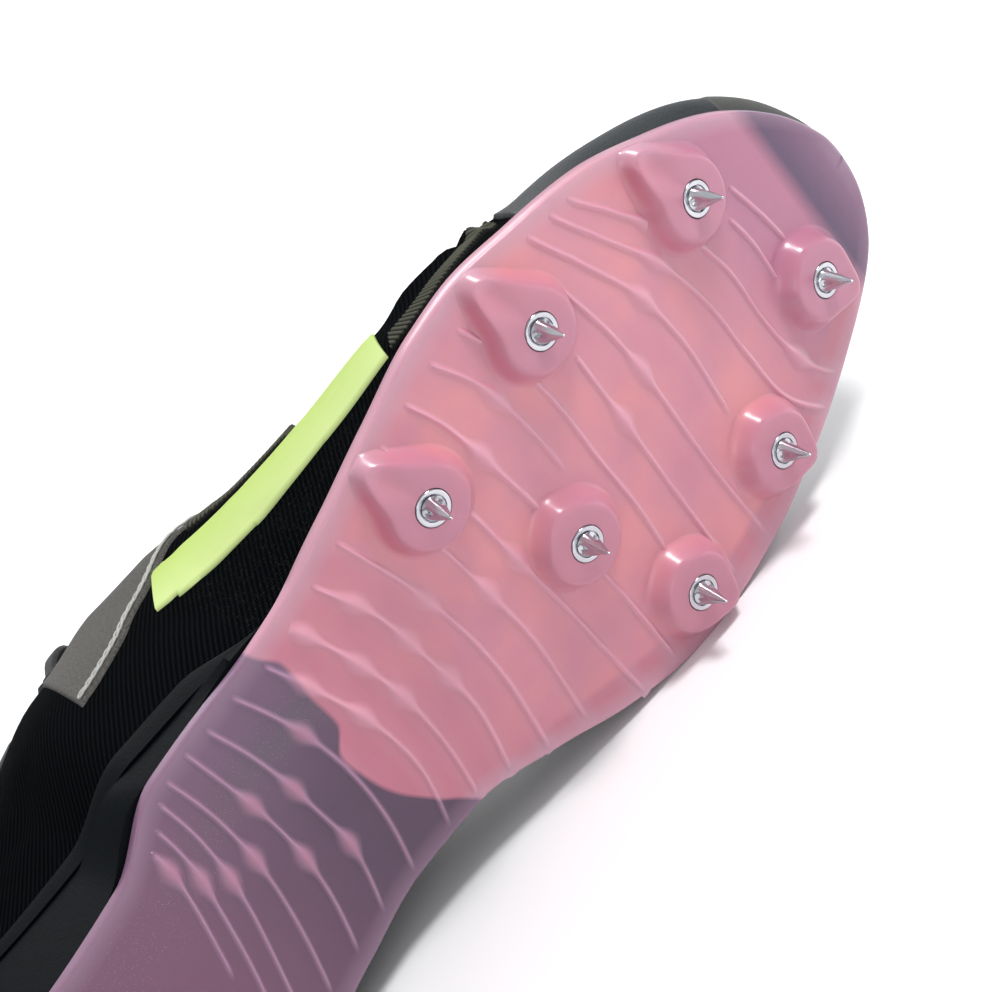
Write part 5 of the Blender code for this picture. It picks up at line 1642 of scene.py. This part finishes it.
def cloth_look(name, dark, light, pitch=1.4, depth=0.0003):
    """A plain woven or brushed fabric in two close tones."""
    look = Look(name, roughness=0.9)
    place = look.stored("weave", "Vector")
    weft = look.waves(place, 0.5 * pitch, 0.4, bands_direction="X")
    warp = look.waves(place, 0.5 * pitch, 0.4, bands_direction="Y")
    both = look.maths("ADD", weft, warp)
    fuzz = look.noise(place, 1.2, 4.0)
    look.set("base_color", look.blend(look.remap(fuzz, 0.3, 0.7), palette(*dark), palette(*light)))
    look.shader.inputs["Sheen Weight"].default_value = 0.2
    first = look.bump(fuzz, depth, 0.6)
    look.join(look.bump(both, depth, 0.5, first), look.shader.inputs["Normal"])
    return look


def thread_look(name, dark, light):
    look = Look(name, roughness=0.75)
    at = look.stored("shoe", "Vector")
    strands = look.noise(at, 2600.0, 3.0)
    look.set("base_color", look.blend(strands, palette(*dark), palette(*light)))
    look.join(look.bump(strands, 0.0001, 0.6), look.shader.inputs["Normal"])
    return look


def floor_look():
    look = Look("floor", roughness=0.75)
    at = look.node("ShaderNodeTexCoord", out="Object")
    look.set("base_color", look.blend(look.noise(at, 3.0, 2.0), palette(243, 243, 243), palette(240, 240, 241)))
    return look


# Floor, light and camera

CAMERA_PLACE = Vector((249.0, -87.7, -343.4)) * MM
CAMERA_RIGHT = Vector((-0.5678, 0.6189, -0.5427))
CAMERA_UP = Vector((0.6063, 0.7604, 0.2328))
CAMERA_BACK = Vector((0.5567, -0.1969, -0.8070))
FOCAL_PIXELS, FRAME_PIXELS = 2400, 992
FLOOR_SIDE = 8.0
HORIZON_LIGHT, ZENITH_LIGHT = 0.30, 0.75


def make_floor():
    mesh = bpy.data.meshes.new("floor")
    half = FLOOR_SIDE / 2
    mesh.from_pydata([(-half, -half, 0), (half, -half, 0), (half, half, 0), (-half, half, 0)], [], [(0, 1, 2, 3)])
    mesh.materials.append(floor_look().material)
    floor = bpy.data.objects.new("floor", mesh)
    bpy.context.scene.collection.objects.link(floor)


def area_light(name, place, aim, size, watts, tint=(1, 1, 1)):
    """A soft light at a place in the row frame, aimed at another."""
    data = bpy.data.lights.new(name, "AREA")
    data.shape, data.size, data.energy, data.color = "DISK", size, watts, tint
    lamp = bpy.data.objects.new(name, data)
    lamp.location = place
    lamp.rotation_euler = (Vector(aim) - Vector(place)).to_track_quat("-Z", "Y").to_euler()
    bpy.context.scene.collection.objects.link(lamp)


def make_light():
    world = bpy.data.worlds.new("room")
    world.use_nodes = True
    tree = world.node_tree
    where = tree.nodes.new("ShaderNodeTexCoord")
    split = tree.nodes.new("ShaderNodeSeparateXYZ")
    rise = tree.nodes.new("ShaderNodeMapRange")
    rise.inputs["From Min"].default_value, rise.inputs["From Max"].default_value = 0.0, 0.7
    rise.inputs["To Min"].default_value, rise.inputs["To Max"].default_value = HORIZON_LIGHT, ZENITH_LIGHT
    tree.links.new(where.outputs["Generated"], split.inputs[0])
    tree.links.new(split.outputs["Z"], rise.inputs["Value"])
    tree.links.new(rise.outputs[0], tree.nodes["Background"].inputs["Strength"])
    tree.nodes["Background"].inputs["Color"].default_value = (0.95, 0.97, 1.0, 1)
    bpy.context.scene.world = world
    aim = (0.03, 0.02, 0.05)
    area_light("key", (0.5, 0.9, 1.5), aim, 0.45, 24)
    area_light("side", (1.2, -0.8, 0.6), aim, 0.7, 3)
    area_light("back", (-0.9, 0.4, 1.0), aim, 0.8, 8)


def make_camera():
    data = bpy.data.cameras.new("camera")
    data.sensor_width = 36.0
    data.lens = 36.0 * FOCAL_PIXELS / FRAME_PIXELS
    data.clip_start = 0.01
    camera = bpy.data.objects.new("camera", data)
    turn = Matrix((CAMERA_RIGHT, CAMERA_UP, CAMERA_BACK)).transposed().to_4x4()
    turn.translation = CAMERA_PLACE
    camera.matrix_world = PLACE @ turn
    bpy.context.scene.collection.objects.link(camera)
    bpy.context.scene.camera = camera


def finish_cad_nodes():
    """The cushion's own node stays, inside the shoe, in its finish."""
    node = frame["nodes"]["forefoot_pad"]
    node.data.materials.clear()
    node.data.materials.append(cushion_look().material)


def main():
    plate, steel = plate_look(), steel_look()
    knit, film, cords = knit_look(), film_look(), cord_look()
    lining = cloth_look("lining", (44, 43, 42), (66, 64, 62))
    laces = cloth_look("lace", (20, 20, 22), (44, 44, 46), 2.4)
    padded = cloth_look("padded", (20, 20, 22), (38, 38, 41))
    make_plate(plate)
    make_ribs(plate)
    make_pods(plate)
    make_pins(steel)
    make_midsole(foam_look())
    make_insole(lining)
    make_upper(knit)
    make_toe_pieces(film, bumper_look())
    make_bands(cords, lime_look())
    make_ankle_panel(heather_look(), thread_look("thread", (120, 120, 116), (196, 196, 190)))
    make_eyestay(film, thread_look("ring", (26, 26, 28), (52, 52, 54)))
    make_collar(padded, lining)
    make_tongue(padded)
    make_laces(laces)
    finish_cad_nodes()
    make_floor()
    make_light()
    make_camera()
    bpy.context.scene.view_settings.view_transform = "Standard"


main()
